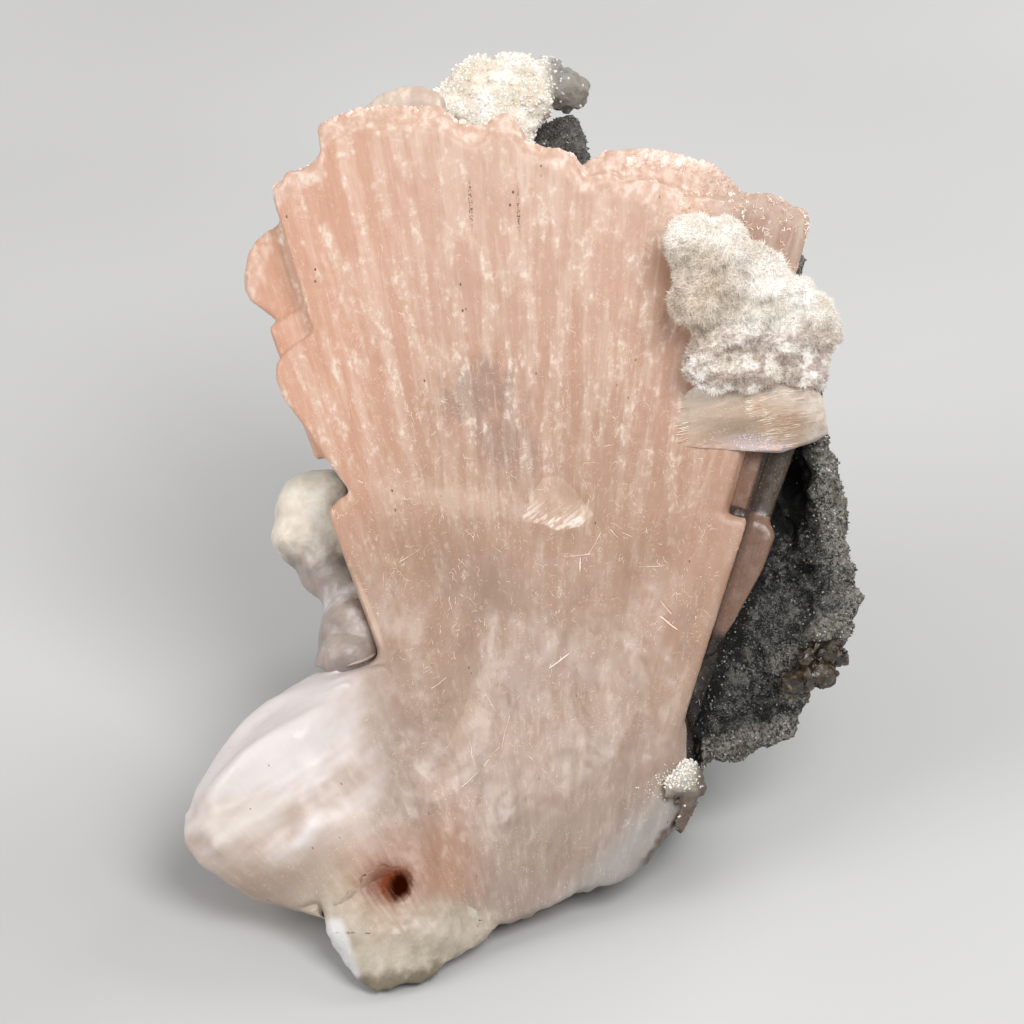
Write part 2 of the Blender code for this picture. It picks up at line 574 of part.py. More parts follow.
def silky_blade(frame):
    """The cream bundle of fibres that lies across the sheaf's right edge."""
    points = [
        (9.7, 5.6, 0.0), (10.4, 7.0, 0.4), (11.4, 7.9, 0.6), (13.2, 8.8, 1.1), (16.0, 9.6, 1.6),
        (19.5, 9.0, 1.6), (21.7, 8.0, 1.0), (21.8, 7.2, 0.8), (21.9, 6.2, 1.0),
        (22.2, 5.5, 0.4), (20.2, 4.9, 0.2), (18.8, 4.1, 0.0), (15.4, 4.3, 0.6),
        (12.0, 4.5, 0.6), (10.4, 4.8, 0.3), (16.0, 6.6, 2.2), (12.6, 6.6, 1.6),
        (19.6, 6.8, 1.8), (10.0, 6.0, -0.8), (12.0, 8.4, -0.8), (21.4, 8.4, -3.0),
        (21.5, 5.0, -3.2), (18.0, 4.3, -1.4), (12.0, 4.7, -0.8),
    ]
    ledge = [
        (15.4, 5.6, 0.6), (19.2, 5.4, 0.2), (18.9, 4.2, 0.7), (16.0, 4.2, 1.0),
        (15.2, 4.6, -1.4), (18.8, 4.5, -1.8), (16.0, 6.0, -1.4), (19.2, 5.8, -1.8),
    ]
    return join_all("silky_blade", [hull("blade", points, frame), hull("ledge", ledge, frame)])


def fibrous_tuft(frame):
    """The white tuft of tiny needles on the sheaf's right shoulder."""
    spots = [
        (12.6, 18.7, 2.8, (1.9, 1.9, 3.0)), (14.2, 17.8, 2.8, (2.4, 2.6, 3.4)),
        (13.2, 15.4, 2.4, (2.2, 3.0, 3.2)), (14.8, 19.4, 2.2, (1.3, 1.3, 2.4)),
        (16.6, 15.6, 1.6, (2.8, 3.0, 2.6)), (18.8, 14.6, 0.4, (2.6, 2.4, 2.2)),
        (20.6, 13.4, -0.4, (1.9, 2.2, 2.0)), (15.0, 12.6, 1.4, (2.2, 2.6, 2.4)),
        (18.6, 11.6, 0.4, (2.6, 2.4, 2.2)), (13.7, 10.6, 1.6, (1.6, 1.6, 1.8)),
        (16.6, 10.0, 1.6, (2.4, 1.5, 1.8)), (20.0, 9.6, 0.4, (2.0, 1.5, 2.0)),
        (21.5, 12.4, -1.0, (1.5, 1.4, 1.6)), (14.4, 9.5, 1.8, (1.5, 1.0, 1.4)),
        (20.6, 10.6, 0.0, (1.4, 1.4, 1.8)),
    ]
    return lumps("fibrous_tuft", frame, spots, 1000, [(2.4, 0.4), (1.0, 0.2)], 64, cell=0.4)


def brown_crystals(frame):
    """The handful of small brown crystals in the basalt's lower right notch."""
    grains = [
        # across, up, out, radii, turn in degrees
        (20.4, -11.9, -3.4, (1.8, 1.0, 1.2), 12), (21.9, -11.5, -3.5, (1.2, 1.2, 1.1), 40),
        (22.2, -9.9, -3.7, (1.2, 1.1, 1.1), -18), (23.1, -8.8, -4.1, (0.6, 0.9, 0.8), 6),
        (21.0, -10.4, -3.9, (1.1, 1.0, 1.0), 25), (23.0, -10.2, -4.0, (0.8, 0.9, 0.9), 60),
    ]
    crystals = []
    for across, up, out, size, turn in grains:
        mesh_data = bmesh.new()
        place = (Matrix.Translation((across, up, out))
                 @ Matrix.Rotation(math.radians(turn), 4, (0.3, 0.4, 1.0))
                 @ Matrix.Diagonal((*size, 1.0)))
        bmesh.ops.create_icosphere(mesh_data, subdivisions=1, radius=1.0, matrix=place)
        crystals.append(solid("grain", mesh_data, frame))
    return join_all("brown_crystals", crystals)


def edge_druse(frame):
    """The white crumbs where the sheaf's root meets the basalt, lower right."""
    spots = [
        (12.4, -18.2, 0.2, (0.9, 0.9, 0.9)), (11.6, -19.0, 0.4, (0.9, 0.8, 0.8)),
        (12.9, -19.2, -0.8, (0.8, 1.0, 0.9)), (12.3, -20.4, -0.7, (0.8, 1.0, 0.9)),
        (11.6, -21.6, -0.8, (0.8, 1.1, 0.9)), (10.9, -19.9, 0.4, (0.5, 0.5, 0.5)),
    ]
    return lumps("edge_druse", frame, spots, 180, [(1.2, 0.15)], 65, cell=0.3)


# The whole specimen


def dress(item, material):
    item.data.materials.clear()
    item.data.materials.append(material)
    item.data.shade_smooth()
    item.data.set_sharp_from_angle(angle=math.radians(28))


def build_specimen():
    clear_scene()
    frame = sheaf_frame()
    swellings = root_swellings(frame)
    sheaf = heulandite_sheaf(frame, swellings)
    sheaf_room = heulandite_sheaf(frame, swellings, GAP)
    for mass in swellings:
        bpy.data.objects.remove(mass)
    silky = silky_blade(frame)
    tuft = fibrous_tuft(frame)
    foot = chalky_foot(frame)
    rock = basalt_matrix(frame)
    knobs = side_knobs(frame)
    crust = top_crust(frame)
    brown = brown_crystals(frame)
    druse = edge_druse(frame)

    for item in (silky, tuft, foot, knobs, crust, druse, rock):
        make_room(item, sheaf_room, 0.0)
    bpy.data.objects.remove(sheaf_room)
    make_room(tuft, silky)
    for item in (silky, tuft, foot):
        make_room(rock, item)
    for item in (knobs, crust, brown, druse):
        make_room(item, rock)

    pink = finish("heulandite pink", (0.72, 0.40, 0.29), 0.35)
    cream = finish("silky cream", (0.55, 0.42, 0.31), 0.4)
    white = finish("fibrous white", (0.86, 0.82, 0.76), 0.8)
    pearl = finish("pearly white", (0.74, 0.66, 0.61), 0.35)
    chalk = finish("chalky cream", (0.56, 0.49, 0.40), 0.7)
    grey = finish("basalt grey", (0.09, 0.09, 0.09), 0.8)
    brownish = finish("brown crystal", (0.12, 0.08, 0.04), 0.3)
    for item, material in (
        (sheaf, pink), (silky, cream), (tuft, white), (foot, chalk), (rock, grey),
        (knobs, pearl), (crust, white), (brown, brownish), (druse, white),
    ):
        dress(item, material)


build_specimen()
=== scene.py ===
"""Looks of the heulandite specimen: a pink sheaf of blades on grey basalt, with a white fibrous tuft,
a silky blade, pale knobs behind its left edge, a chalky foot, white crusts and brown crystals.

Metres, +Z up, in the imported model's own frame. Sizes below are in millimetres where MM multiplies
them, and many places are given in the sheaf's own frame: across (right), up (along the blades)
and out (out of the pink face, towards the viewer).
"""

import math
import random

import bpy
import numpy as np
from mathutils import Matrix, Vector, noise


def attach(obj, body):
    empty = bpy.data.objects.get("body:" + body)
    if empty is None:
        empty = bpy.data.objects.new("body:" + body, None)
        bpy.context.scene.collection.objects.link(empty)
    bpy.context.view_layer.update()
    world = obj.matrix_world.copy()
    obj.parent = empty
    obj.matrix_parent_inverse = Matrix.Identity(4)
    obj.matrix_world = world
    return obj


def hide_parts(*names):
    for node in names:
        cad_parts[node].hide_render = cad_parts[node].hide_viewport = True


MM = 0.001

# The sheaf's own frame: it leans back, and its blades radiate from a point below the specimen.
LEAN = math.radians(30)
FACE_MIDDLE = Vector((-1.0, -4.0, 24.8)) * MM
SHEAF = Matrix.Translation(FACE_MIDDLE) @ Matrix.Rotation(math.pi / 2 - LEAN, 4, "X")
FAN_ACROSS = 2.9
FAN_UP = -43.5
FAN_ARC = 55.0  # the radius at which a pattern's arcs are in true millimetres
ARC_DEGREE = FAN_ARC * math.pi / 180

# The photograph's view: straight onto the pink face, from far off.
VIEW_DISTANCE = 400.0 * MM
VIEW_WIDTH = 1024 * 0.07 * MM
SENSOR = 36.0

# How fine the skins are: the size of a voxel, and the most faces of the largest piece.
CELL_SHEAF = 0.22
CELL_BASALT = 0.3
FAN_FACES = 196000

# How many small things there are of each kind.
CROWDS_ON_FACE = 760
CREST_FLECKS = 280
CREST_BEADS = 420
TUFT_NEEDLES = 34000
SILKY_FIBRES = 900
LEDGE_CRUMBS = 150
GREY_GRAINS = 12000
PALE_GRAINS = 3600
CRUST_GRAINS = 2600
DRUSE_GRAINS = 420
ROOT_GRAINS = 300
BROWN_POINTS = 46

# The sheaf's skin also covers the foot's upper part, down to this height (up).
FOOT_CUT = -28.9

# How many degrees the silky blade's fibres climb to the right.
SILKY_SLOPE = 10


# Working on objects


def make_active(piece):
    """Selects this piece alone, for the operators that follow."""
    bpy.ops.object.select_all(action="DESELECT")
    piece.select_set(True)
    bpy.context.view_layer.objects.active = piece


def apply(piece, kind, **settings):
    """Adds one modifier and applies it."""
    modifier = piece.modifiers.new(kind.title(), kind)
    for key, value in settings.items():
        setattr(modifier, key, value)
    make_active(piece)
    bpy.ops.object.modifier_apply(modifier=modifier.name)


def copy_of(node, name):
    """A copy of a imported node's mesh, merged into one skin, as the start of a finer piece."""
    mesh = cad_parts[node].data.copy()
    mesh.materials.clear()
    piece = bpy.data.objects.new(name, mesh)
    bpy.context.scene.collection.objects.link(piece)
    make_active(piece)
    bpy.ops.object.mode_set(mode="EDIT")
    bpy.ops.mesh.select_all(action="SELECT")
    bpy.ops.mesh.remove_doubles(threshold=0.000001)
    bpy.ops.object.mode_set(mode="OBJECT")
    return piece


def pick_faces(piece, test):
    """Goes to edit mode with the faces that pass the test selected."""
    make_active(piece)
    bpy.ops.object.mode_set(mode="EDIT")
    bpy.ops.mesh.select_mode(type="FACE")
    bpy.ops.mesh.select_all(action="DESELECT")
    bpy.ops.object.mode_set(mode="OBJECT")
    for face in piece.data.polygons:
        face.select = test(face)
    bpy.ops.object.mode_set(mode="EDIT")


def read_points(piece):
    """Every point's place in metres."""
    points = np.empty(len(piece.data.vertices) * 3)
    piece.data.vertices.foreach_get("co", points)
    return points.reshape(-1, 3)


def read_normals(piece):
    """Every point's normal."""
    normals = np.empty(len(piece.data.vertices) * 3)
    piece.data.vertex_normals.foreach_get("vector", normals)
    return normals.reshape(-1, 3)


def write_points(piece, points):
    """Puts every point in its new place."""
    piece.data.vertices.foreach_set("co", points.ravel())
    piece.data.update()


def swell(points, size, seed, stretch=(1, 1, 1), octaves=3):
    """Smooth noise at each point (in mm), about -1 to 1, with lumps of this size."""
    shift = np.array((seed * 7.1, seed * 3.7, seed * 5.3))
    places = points / size / np.array(stretch) + shift
    return np.array([noise.fractal(Vector(place), 0.9, 2.0, octaves) for place in places])


def ease(values, low, high):
    """Rises smoothly from 0 at low to 1 at high."""
    share = np.clip((values - low) / (high - low), 0, 1)
    return share * share * (3 - 2 * share)


def raise_skin(piece, heights):
    """Moves every point along its normal by a height in millimetres."""
    write_points(piece, read_points(piece) + read_normals(piece) * heights[:, None] * MM)


def smooth_where(piece, shares, passes):
    """Smooths the skin where the share is high."""
    group = piece.vertex_groups.new(name="soft")
    for level in range(1, 11):
        chosen = np.nonzero(np.round(shares * 10) == level)[0].tolist()
        if chosen:
            group.add(chosen, level / 10, "REPLACE")
    apply(piece, "SMOOTH", factor=0.5, iterations=passes, vertex_group="soft")
    piece.vertex_groups.clear()


def finish_piece(piece, nodes, slot, *finishes, smooth=True):
    """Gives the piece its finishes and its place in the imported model."""
    piece.data.materials.clear()
    for one in finishes:
        piece.data.materials.append(one)
    if smooth:
        piece.data.shade_smooth()
    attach(piece, "root")
    if nodes:
        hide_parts(*nodes)


# Little shapes that repeat


def take_pattern(piece):
    """The points and triangles of a little shape, whose object is then removed."""
    make_active(piece)
    bpy.ops.object.mode_set(mode="EDIT")
    bpy.ops.mesh.select_all(action="SELECT")
    bpy.ops.mesh.quads_convert_to_tris()
    bpy.ops.mesh.normals_make_consistent(inside=False)
    bpy.ops.object.mode_set(mode="OBJECT")
    points = read_points(piece)
    triangles = np.array([list(face.vertices) for face in piece.data.polygons])
    bpy.data.objects.remove(piece)
    return points, triangles


def needle_pattern():
    """A three-sided needle of length 1 along Z with a short point."""
    bpy.ops.mesh.primitive_cylinder_add(vertices=3, radius=1.0, depth=0.75, location=(0, 0, 0.375))
    piece = bpy.context.object
    pick_faces(piece, lambda face: face.normal.z > 0.9)
    bpy.ops.mesh.extrude_region_move(TRANSFORM_OT_translate={"value": (0, 0, 0.25)})
    bpy.ops.mesh.merge(type="CENTER")
    bpy.ops.object.mode_set(mode="OBJECT")
    apply_place(piece)
    return take_pattern(piece)


def spine_pattern():
    """A plain three-sided spine of length 1 along Z."""
    bpy.ops.mesh.primitive_cone_add(vertices=3, radius1=1.0, depth=1.0, location=(0, 0, 0.5))
    piece = bpy.context.object
    apply_place(piece)
    return take_pattern(piece)


def tablet_pattern():
    """A small coffin-shaped crystal, 1 long along Z, with a bevelled tip."""
    bpy.ops.mesh.primitive_cube_add(size=1.0, location=(0, 0, 0.3), scale=(1.0, 0.6, 0.6))
    piece = bpy.context.object
    apply_place(piece)
    pick_faces(piece, lambda face: face.normal.z > 0.9)
    bpy.ops.mesh.extrude_region_move(TRANSFORM_OT_translate={"value": (0, 0, 0.4)})
    bpy.ops.transform.resize(value=(0.62, 0.5, 1.0))
    bpy.ops.mesh.select_all(action="SELECT")
    bpy.ops.mesh.bevel(offset=0.05, segments=1)
    bpy.ops.object.mode_set(mode="OBJECT")
    return take_pattern(piece)


def bead_pattern():
    """A small rounded grain of radius 1."""
    bpy.ops.mesh.primitive_ico_sphere_add(subdivisions=2, radius=1.0)
    piece = bpy.context.object
    pick_faces(piece, lambda face: face.center.z < -0.55)
    bpy.ops.transform.resize(value=(1.0, 1.0, 0.4))
    bpy.ops.object.mode_set(mode="OBJECT")
    apply(piece, "DECIMATE", ratio=0.5)
    return take_pattern(piece)


def crumb_pattern():
    """A sharp-edged crumb of radius 1."""
    bpy.ops.mesh.primitive_cube_add(size=1.3, rotation=(0.6, 0.5, 0.3))
    piece = bpy.context.object
    apply_place(piece)
    pick_faces(piece, lambda face: face.normal.z > 0.3)
    bpy.ops.transform.resize(value=(0.6, 0.7, 1.1))
    bpy.ops.object.mode_set(mode="OBJECT")
    return take_pattern(piece)


def apply_place(piece):
    """Moves the object's place, turn and size into its mesh."""
    make_active(piece)
    bpy.ops.object.transform_apply(location=True, rotation=True, scale=True)


def strew(name, pattern, places, axes, sides, sizes):
    """One mesh of many copies of a little shape.

    axes is where each copy's Z points, sides where its X roughly points, and sizes its widths
    along X and Y and its length along Z, in metres.
    """
    points, triangles = pattern
    axes = axes / np.linalg.norm(axes, axis=1, keepdims=True)
    fronts = np.cross(axes, sides)
    fronts /= np.linalg.norm(fronts, axis=1, keepdims=True) + 1e-12
    sides = np.cross(fronts, axes)
    corners = (
        places[:, None, :]
        + points[None, :, 0:1] * sizes[:, None, 0:1] * sides[:, None, :]
        + points[None, :, 1:2] * sizes[:, None, 1:2] * fronts[:, None, :]
        + points[None, :, 2:3] * sizes[:, None, 2:3] * axes[:, None, :]
    )
    faces = triangles[None, :, :] + (np.arange(len(places)) * len(points))[:, None, None]
    mesh = bpy.data.meshes.new(name)
    mesh.from_pydata(corners.reshape(-1, 3), [], faces.reshape(-1, 3))
    piece = bpy.data.objects.new(name, mesh)
    bpy.context.scene.collection.objects.link(piece)
    return piece


def spots_on(piece, count, seed, share):
    """Random places on a piece's skin, with the normals there. share weights each face by its
    centre and its normal."""
    chance = np.random.default_rng(seed)
    mesh = piece.data
    mesh.calc_loop_triangles()
    corners = np.empty(len(mesh.loop_triangles) * 3, dtype=np.int32)
    mesh.loop_triangles.foreach_get("vertices", corners)
    corners = read_points(piece)[corners.reshape(-1, 3)]
    cross = np.cross(corners[:, 1] - corners[:, 0], corners[:, 2] - corners[:, 0])
    area = np.linalg.norm(cross, axis=1)
    normals = cross / (area[:, None] + 1e-15)
    weight = area * share(corners.mean(axis=1), normals)
    chosen = chance.choice(len(weight), size=count, p=weight / weight.sum())
    mix = chance.dirichlet((1, 1, 1), size=count)
    places = (corners[chosen] * mix[:, :, None]).sum(axis=1)
    return places, normals[chosen]


def scattered(count, seed):
    """Random directions."""
    chance = np.random.default_rng(seed)
    axes = chance.normal(size=(count, 3))
    return axes / np.linalg.norm(axes, axis=1, keepdims=True)


def in_sheaf(points):
    """Places in metres as across, up and out in millimetres."""
    turn = np.array(SHEAF.inverted().to_3x3())
    return (points - np.array(FACE_MIDDLE)) @ turn.T / MM


def from_sheaf(points):
    """Places given as across, up and out in millimetres, in metres."""
    turn = np.array(SHEAF.to_3x3())
    return points * MM @ turn.T + np.array(FACE_MIDDLE)


def direction(across, up, out):
    """A direction given in the sheaf's frame."""
    return np.array(SHEAF.to_3x3() @ Vector((across, up, out)))


# Finishes


class Finish:
    """The nodes of one material. Constants are set on the shader's own sockets."""

    def __init__(self, name, **constants):
        self.material = bpy.data.materials.new(name)
        self.material.use_nodes = True
        self.tree = self.material.node_tree
        self.shader = self.tree.nodes["Principled BSDF"]
        for constant, value in constants.items():
            socket = constant.replace("_", " ").title().replace("Ior", "IOR")
            self.shader.inputs[socket].default_value = value
        self.spot_in = self.add("ShaderNodeTexCoord").outputs["Object"]

    def add(self, kind, inputs=(), **settings):
        made = self.tree.nodes.new(kind)
        for key, value in settings.items():
            setattr(made, key, value)
        for socket, value in dict(inputs).items():
            self.feed(made.inputs[socket], value)
        return made

    def feed(self, socket, value):
        if isinstance(value, bpy.types.NodeSocket):
            self.tree.links.new(value, socket)
        elif isinstance(value, tuple) and len(value) == 3 and socket.type == "RGBA":
            socket.default_value = (*value, 1.0)
        else:
            socket.default_value = value

    def place(self):
        """Millimetres in the specimen's frame."""
        made = self.add("ShaderNodeVectorMath", {0: self.spot_in, "Scale": 1 / MM}, operation="SCALE")
        return made.outputs[0]

    def sheaf_place(self):
        """Across, up and out in millimetres."""
        made = self.add("ShaderNodeMapping", {"Vector": self.spot_in}, vector_type="TEXTURE")
        made.inputs["Location"].default_value = FACE_MIDDLE
        made.inputs["Rotation"].default_value = (math.pi / 2 - LEAN, 0, 0)
        made.inputs["Scale"].default_value = (MM, MM, MM)
        return made.outputs[0]

    def split(self, vector):
        return self.add("ShaderNodeSeparateXYZ", {0: vector}).outputs

    def join(self, x, y, z):
        return self.add("ShaderNodeCombineXYZ", {0: x, 1: y, 2: z}).outputs[0]

    def fan_place(self, sheaf):
        """Arc and radius about the blades' centre, and out, in millimetres."""
        across, up, out = self.split(sheaf)
        x = self.maths("SUBTRACT", across, FAN_ACROSS)
        y = self.maths("SUBTRACT", up, FAN_UP)
        arc = self.times(self.maths("ARCTAN2", x, y), FAN_ARC)
        return self.join(arc, self.length(x, y), out)

    def length(self, x, y):
        """How long the step of x and y is."""
        squares = self.maths("ADD", self.maths("POWER", x, 2.0), self.maths("POWER", y, 2.0))
        return self.maths("SQRT", squares)

    def degrees(self, fan):
        """Degrees to the right of up, about the blades' centre."""
        return self.maths("DIVIDE", self.split(fan)[0], ARC_DEGREE)

    def turned(self, vector, degrees):
        """The pattern turned about out."""
        made = self.add("ShaderNodeMapping", {"Vector": vector}, vector_type="POINT")
        made.inputs["Rotation"].default_value = (0, 0, math.radians(degrees))
        return made.outputs[0]

    def shared(self, name):
        """The share that mark keeps at each point of the piece."""
        return self.add("ShaderNodeAttribute", attribute_name=name).outputs["Fac"]

    def maths(self, operation, first, second=0.0):
        return self.add("ShaderNodeMath", {0: first, 1: second}, operation=operation).outputs[0]

    def times(self, first, *others):
        """The product of several shares."""
        for one in others:
            first = self.maths("MULTIPLY", first, one)
        return first

    def plus(self, first, second, strength=1.0):
        """first, and second times strength."""
        inputs = {0: second, 1: strength, 2: first}
        return self.add("ShaderNodeMath", inputs, operation="MULTIPLY_ADD").outputs[0]

    def sway(self, value, by):
        """Brings a noise about its middle: half of by to each side of 0."""
        return self.plus(-0.5 * by, value, by)

    def most(self, first, *others):
        """The largest of several shares."""
        for one in others:
            first = self.maths("MAXIMUM", first, one)
        return first

    def stretch(self, vector, by):
        """Draws a pattern out: by is how many times longer it is along each axis."""
        scale = tuple(1 / one for one in by)
        return self.add("ShaderNodeVectorMath", {0: vector, 1: scale}, operation="MULTIPLY").outputs[0]

    def grain(self, vector, size, detail=3.0, rough=0.5, distortion=0.0):
        """Noise from 0 to 1 with lumps of this size in millimetres."""
        made = self.add("ShaderNodeTexNoise", {
            "Vector": vector, "Scale": 1 / size, "Detail": detail, "Roughness": rough,
            "Distortion": distortion})
        return made.outputs["Fac"]

    def cells(self, vector, size):
        """How far the nearest of some scattered dots is, this far apart in millimetres."""
        made = self.add("ShaderNodeTexVoronoi", {"Vector": vector, "Scale": 1 / size})
        return made.outputs["Distance"]

    def rise(self, value, low, high, start=0.0, end=1.0):
        """Rises smoothly from start at low to end at high."""
        made = self.add("ShaderNodeMapRange", {"Value": value, "From Min": low, "From Max": high,
                        "To Min": start, "To Max": end}, interpolation_type="SMOOTHSTEP")
        return made.outputs[0]

    def blend(self, share, first, second):
        """From the first colour to the second as the share goes from 0 to 1."""
        made = self.add("ShaderNodeMix", data_type="RGBA", clamp_factor=True)
        self.feed(made.inputs[0], share)
        self.feed(made.inputs[6], first)
        self.feed(made.inputs[7], second)
        return made.outputs[2]

    def ramp(self, value, *stops):
        """Colours along a value. Each stop is a place from 0 to 1 and its colour."""
        made = self.add("ShaderNodeValToRGB", {"Fac": value})
        marks = made.color_ramp.elements
        while len(marks) < len(stops):
            marks.new(0.5)
        for mark, (place, colour) in zip(marks, stops):
            mark.position = place
            mark.color = (*colour, 1.0)
        return made.outputs["Color"]

    def spot(self, parts, across, up, wide, high, turn=0.0, soft=1.0, wobble=None):
        """1 inside an ellipse on the face, falling to 0 outside it."""
        x = self.maths("SUBTRACT", parts[0], across)
        y = self.maths("SUBTRACT", parts[1], up)
        c, s = math.cos(math.radians(turn)), math.sin(math.radians(turn))
        lengthwise = self.maths("ADD", self.times(x, c / wide), self.times(y, s / wide))
        crosswise = self.maths("ADD", self.times(y, c / high), self.times(x, -s / high))
        away = self.length(self.maths("ABSOLUTE", lengthwise), self.maths("ABSOLUTE", crosswise))
        if wobble is not None:
            away = self.maths("ADD", away, wobble)
        return self.rise(away, 1 - 0.5 * soft, 1 + 0.5 * soft, 1.0, 0.0)

    def over(self, body, share, strength, colour):
        """Lays a colour over the body, this strongly."""
        return self.blend(self.maths("MULTIPLY", share, strength), body, colour)

    def inside(self, parts, corners, soft=0.1, wobble=None):
        """1 inside a bulging outline whose corners run clockwise, falling to 0 outside it."""
        away = -100.0
        for (x, y), (next_x, next_y) in zip(corners, corners[1:] + corners[:1]):
            side = math.hypot(next_x - x, next_y - y)
            c, s = -(next_y - y) / side, (next_x - x) / side
            level = self.maths("ADD", self.times(parts[0], c), self.times(parts[1], s))
            away = self.maths("MAXIMUM", away, self.maths("SUBTRACT", level, c * x + s * y))
        if wobble is not None:
            away = self.maths("ADD", away, wobble)
        return self.rise(away, 0.0, soft, 1.0, 0.0)

    def bump(self, height, depth, under=None):
        """Relief of this depth in millimetres."""
        made = self.add("ShaderNodeBump", {"Height": height, "Distance": depth * MM, "Strength": 1.0})
        if under is not None:
            self.tree.links.new(under, made.inputs["Normal"])
        return made.outputs[0]

    def wear(self, colour=None, roughness=None, normal=None):
        """Joins the patterns to the shader."""
        for socket, value in (("Base Color", colour), ("Roughness", roughness), ("Normal", normal)):
            if value is not None:
                self.feed(self.shader.inputs[socket], value)
        return self.material


# How much brighter the studio's light makes a surface than its own colour, in red, green and blue.
STUDIO_LIGHT = (1.35, 1.4, 1.46)
NO_LIGHT = (1.0, 1.0, 1.0)


def linear(level):
    """A screen's level, 0 to 255, as light."""
    return ((level / 255 + 0.055) / 1.055) ** 2.4 if level > 10 else level / 255 / 12.92


def shade(red, green, blue, light=STUDIO_LIGHT):
    """A colour given as it looks on a screen under the studio's light, 0 to 255."""
    return tuple(linear(level) / lit for level, lit in zip((red, green, blue), light))


def pure(red, green, blue):
    """A colour of the thing itself, for what is nearly white."""
    return shade(red, green, blue, NO_LIGHT)


def heulandite_finish(name="heulandite", specular=0.45, coat=0.12):
    """Peach to grey-pink, milky, with soft veils and flecks that follow the blades.

    parts are across, up and out; fan is the place about the blades' centre; fray roughens the
    edges of patches; crest and far are the shares of the clear crest and of the blade behind it.
    """
    f = Finish(name, ior=1.5, coat_weight=coat, coat_roughness=0.25, specular_ior_level=specular)
    sheaf = f.sheaf_place()
    parts = f.split(sheaf)
    across, up = parts[:2]
    fan = f.fan_place(sheaf)
    cloud = f.grain(sheaf, 5.0, 2.0)
    fray = f.plus(f.sway(f.grain(f.stretch(fan, (1, 5, 1)), 0.7, 2.0, 0.6), 2.4),
                  f.sway(f.grain(sheaf, 0.5, 2.0, 0.7), 1.4))
    crest = f.shared("crest")
    far = f.times(f.rise(across, 12.6, 15.6), f.rise(up, 13.0, 16.5))
    body = face_tones(f, parts, cloud, far)
    body = root_smoke(f, sheaf, parts, body, fray)
    body = middle_marks(f, sheaf, parts, body, fray)
    body = lobe_lustre(f, sheaf, parts, body, cloud)
    body = root_edges(f, sheaf, parts, body, fray)
    body, pale = veils(f, fan, parts, body)
    body = f.over(body, crest, 0.95, clear_band(f, fan, far))
    body = flecks(f, fan, sheaf, parts, body, far)
    body, pit = rust_pit(f, parts, body, fray)
    gloss = f.rise(cloud, 0.3, 0.7, 0.34, 0.5)
    gloss = f.blend(pale, gloss, (0.28, 0.28, 0.28))
    return f.wear(body, f.blend(pit, gloss, (0.9, 0.9, 0.9)))


def clear_band(f, fan, far):
    """The clearer band along the crest, greyer on the blade behind."""
    lump = f.grain(f.stretch(fan, (1, 2.2, 1)), 0.5, 2.0, 0.6)
    clear = f.ramp(lump, (0.36, shade(226, 188, 168)), (0.5, shade(238, 204, 186)),
                   (0.64, shade(252, 234, 220)))
    return f.over(clear, far, 0.7, shade(196, 172, 158))


def face_tones(f, parts, cloud, far):
    """The broad colours: greyish below, peach above, orange to the left and tan to the right."""
    across, up, out = parts
    height = f.plus(f.sway(cloud, 0.24), f.maths("DIVIDE", f.maths("ADD", up, 30.0), 60.0))
    body = f.ramp(height, (0.03, shade(172, 155, 147)), (0.16, shade(180, 160, 149)),
                  (0.34, shade(180, 151, 132)), (0.54, shade(188, 153, 132)),
                  (0.68, shade(208, 170, 149)), (0.84, shade(224, 187, 168)),
                  (0.96, shade(232, 200, 182)))
    left = f.times(f.rise(across, -3.0, -15.0), f.rise(up, -8.0, 6.0))
    body = f.over(body, left, 0.9, shade(230, 178, 150))
    right = f.times(f.rise(across, 6.0, 13.0), f.rise(up, -14.0, -2.0))
    body = f.over(body, right, 0.5, shade(196, 152, 128))
    body = f.over(body, far, 0.85, shade(184, 158, 144))
    behind = f.times(f.rise(out, -4.4, -5.2), f.rise(up, 20.0, 24.0))
    return f.over(body, behind, 0.85, shade(222, 212, 200))


def root_smoke(f, sheaf, parts, body, fray):
    """Cloudy patches in the root, and a few sheets of it that catch the light."""
    low = f.rise(parts[1], 2.0, -8.0)
    smoke = f.grain(f.stretch(f.turned(sheaf, 12), (1, 2.2, 1)), 1.8, 3.0, 0.62)
    body = f.over(body, f.times(f.rise(smoke, 0.52, 0.66), low), 0.42, shade(214, 194, 182))
    body = f.over(body, f.times(f.rise(smoke, 0.48, 0.34), low), 0.42, shade(154, 128, 114))
    torn = f.times(fray, 0.22)
    upper_sheet = [(-2.9, -13.2), (-1.5, -14.2), (-1.9, -16.3), (-3.5, -17.4), (-4.2, -16.0)]
    lower_sheet = [(-6.1, -18.2), (-4.0, -17.7), (-3.8, -19.1), (-5.6, -20.0), (-6.6, -19.5)]
    sheets = f.most(f.inside(parts, upper_sheet, 0.25, torn), f.inside(parts, lower_sheet, 0.25, torn))
    return f.over(body, sheets, 0.35, shade(222, 198, 182))


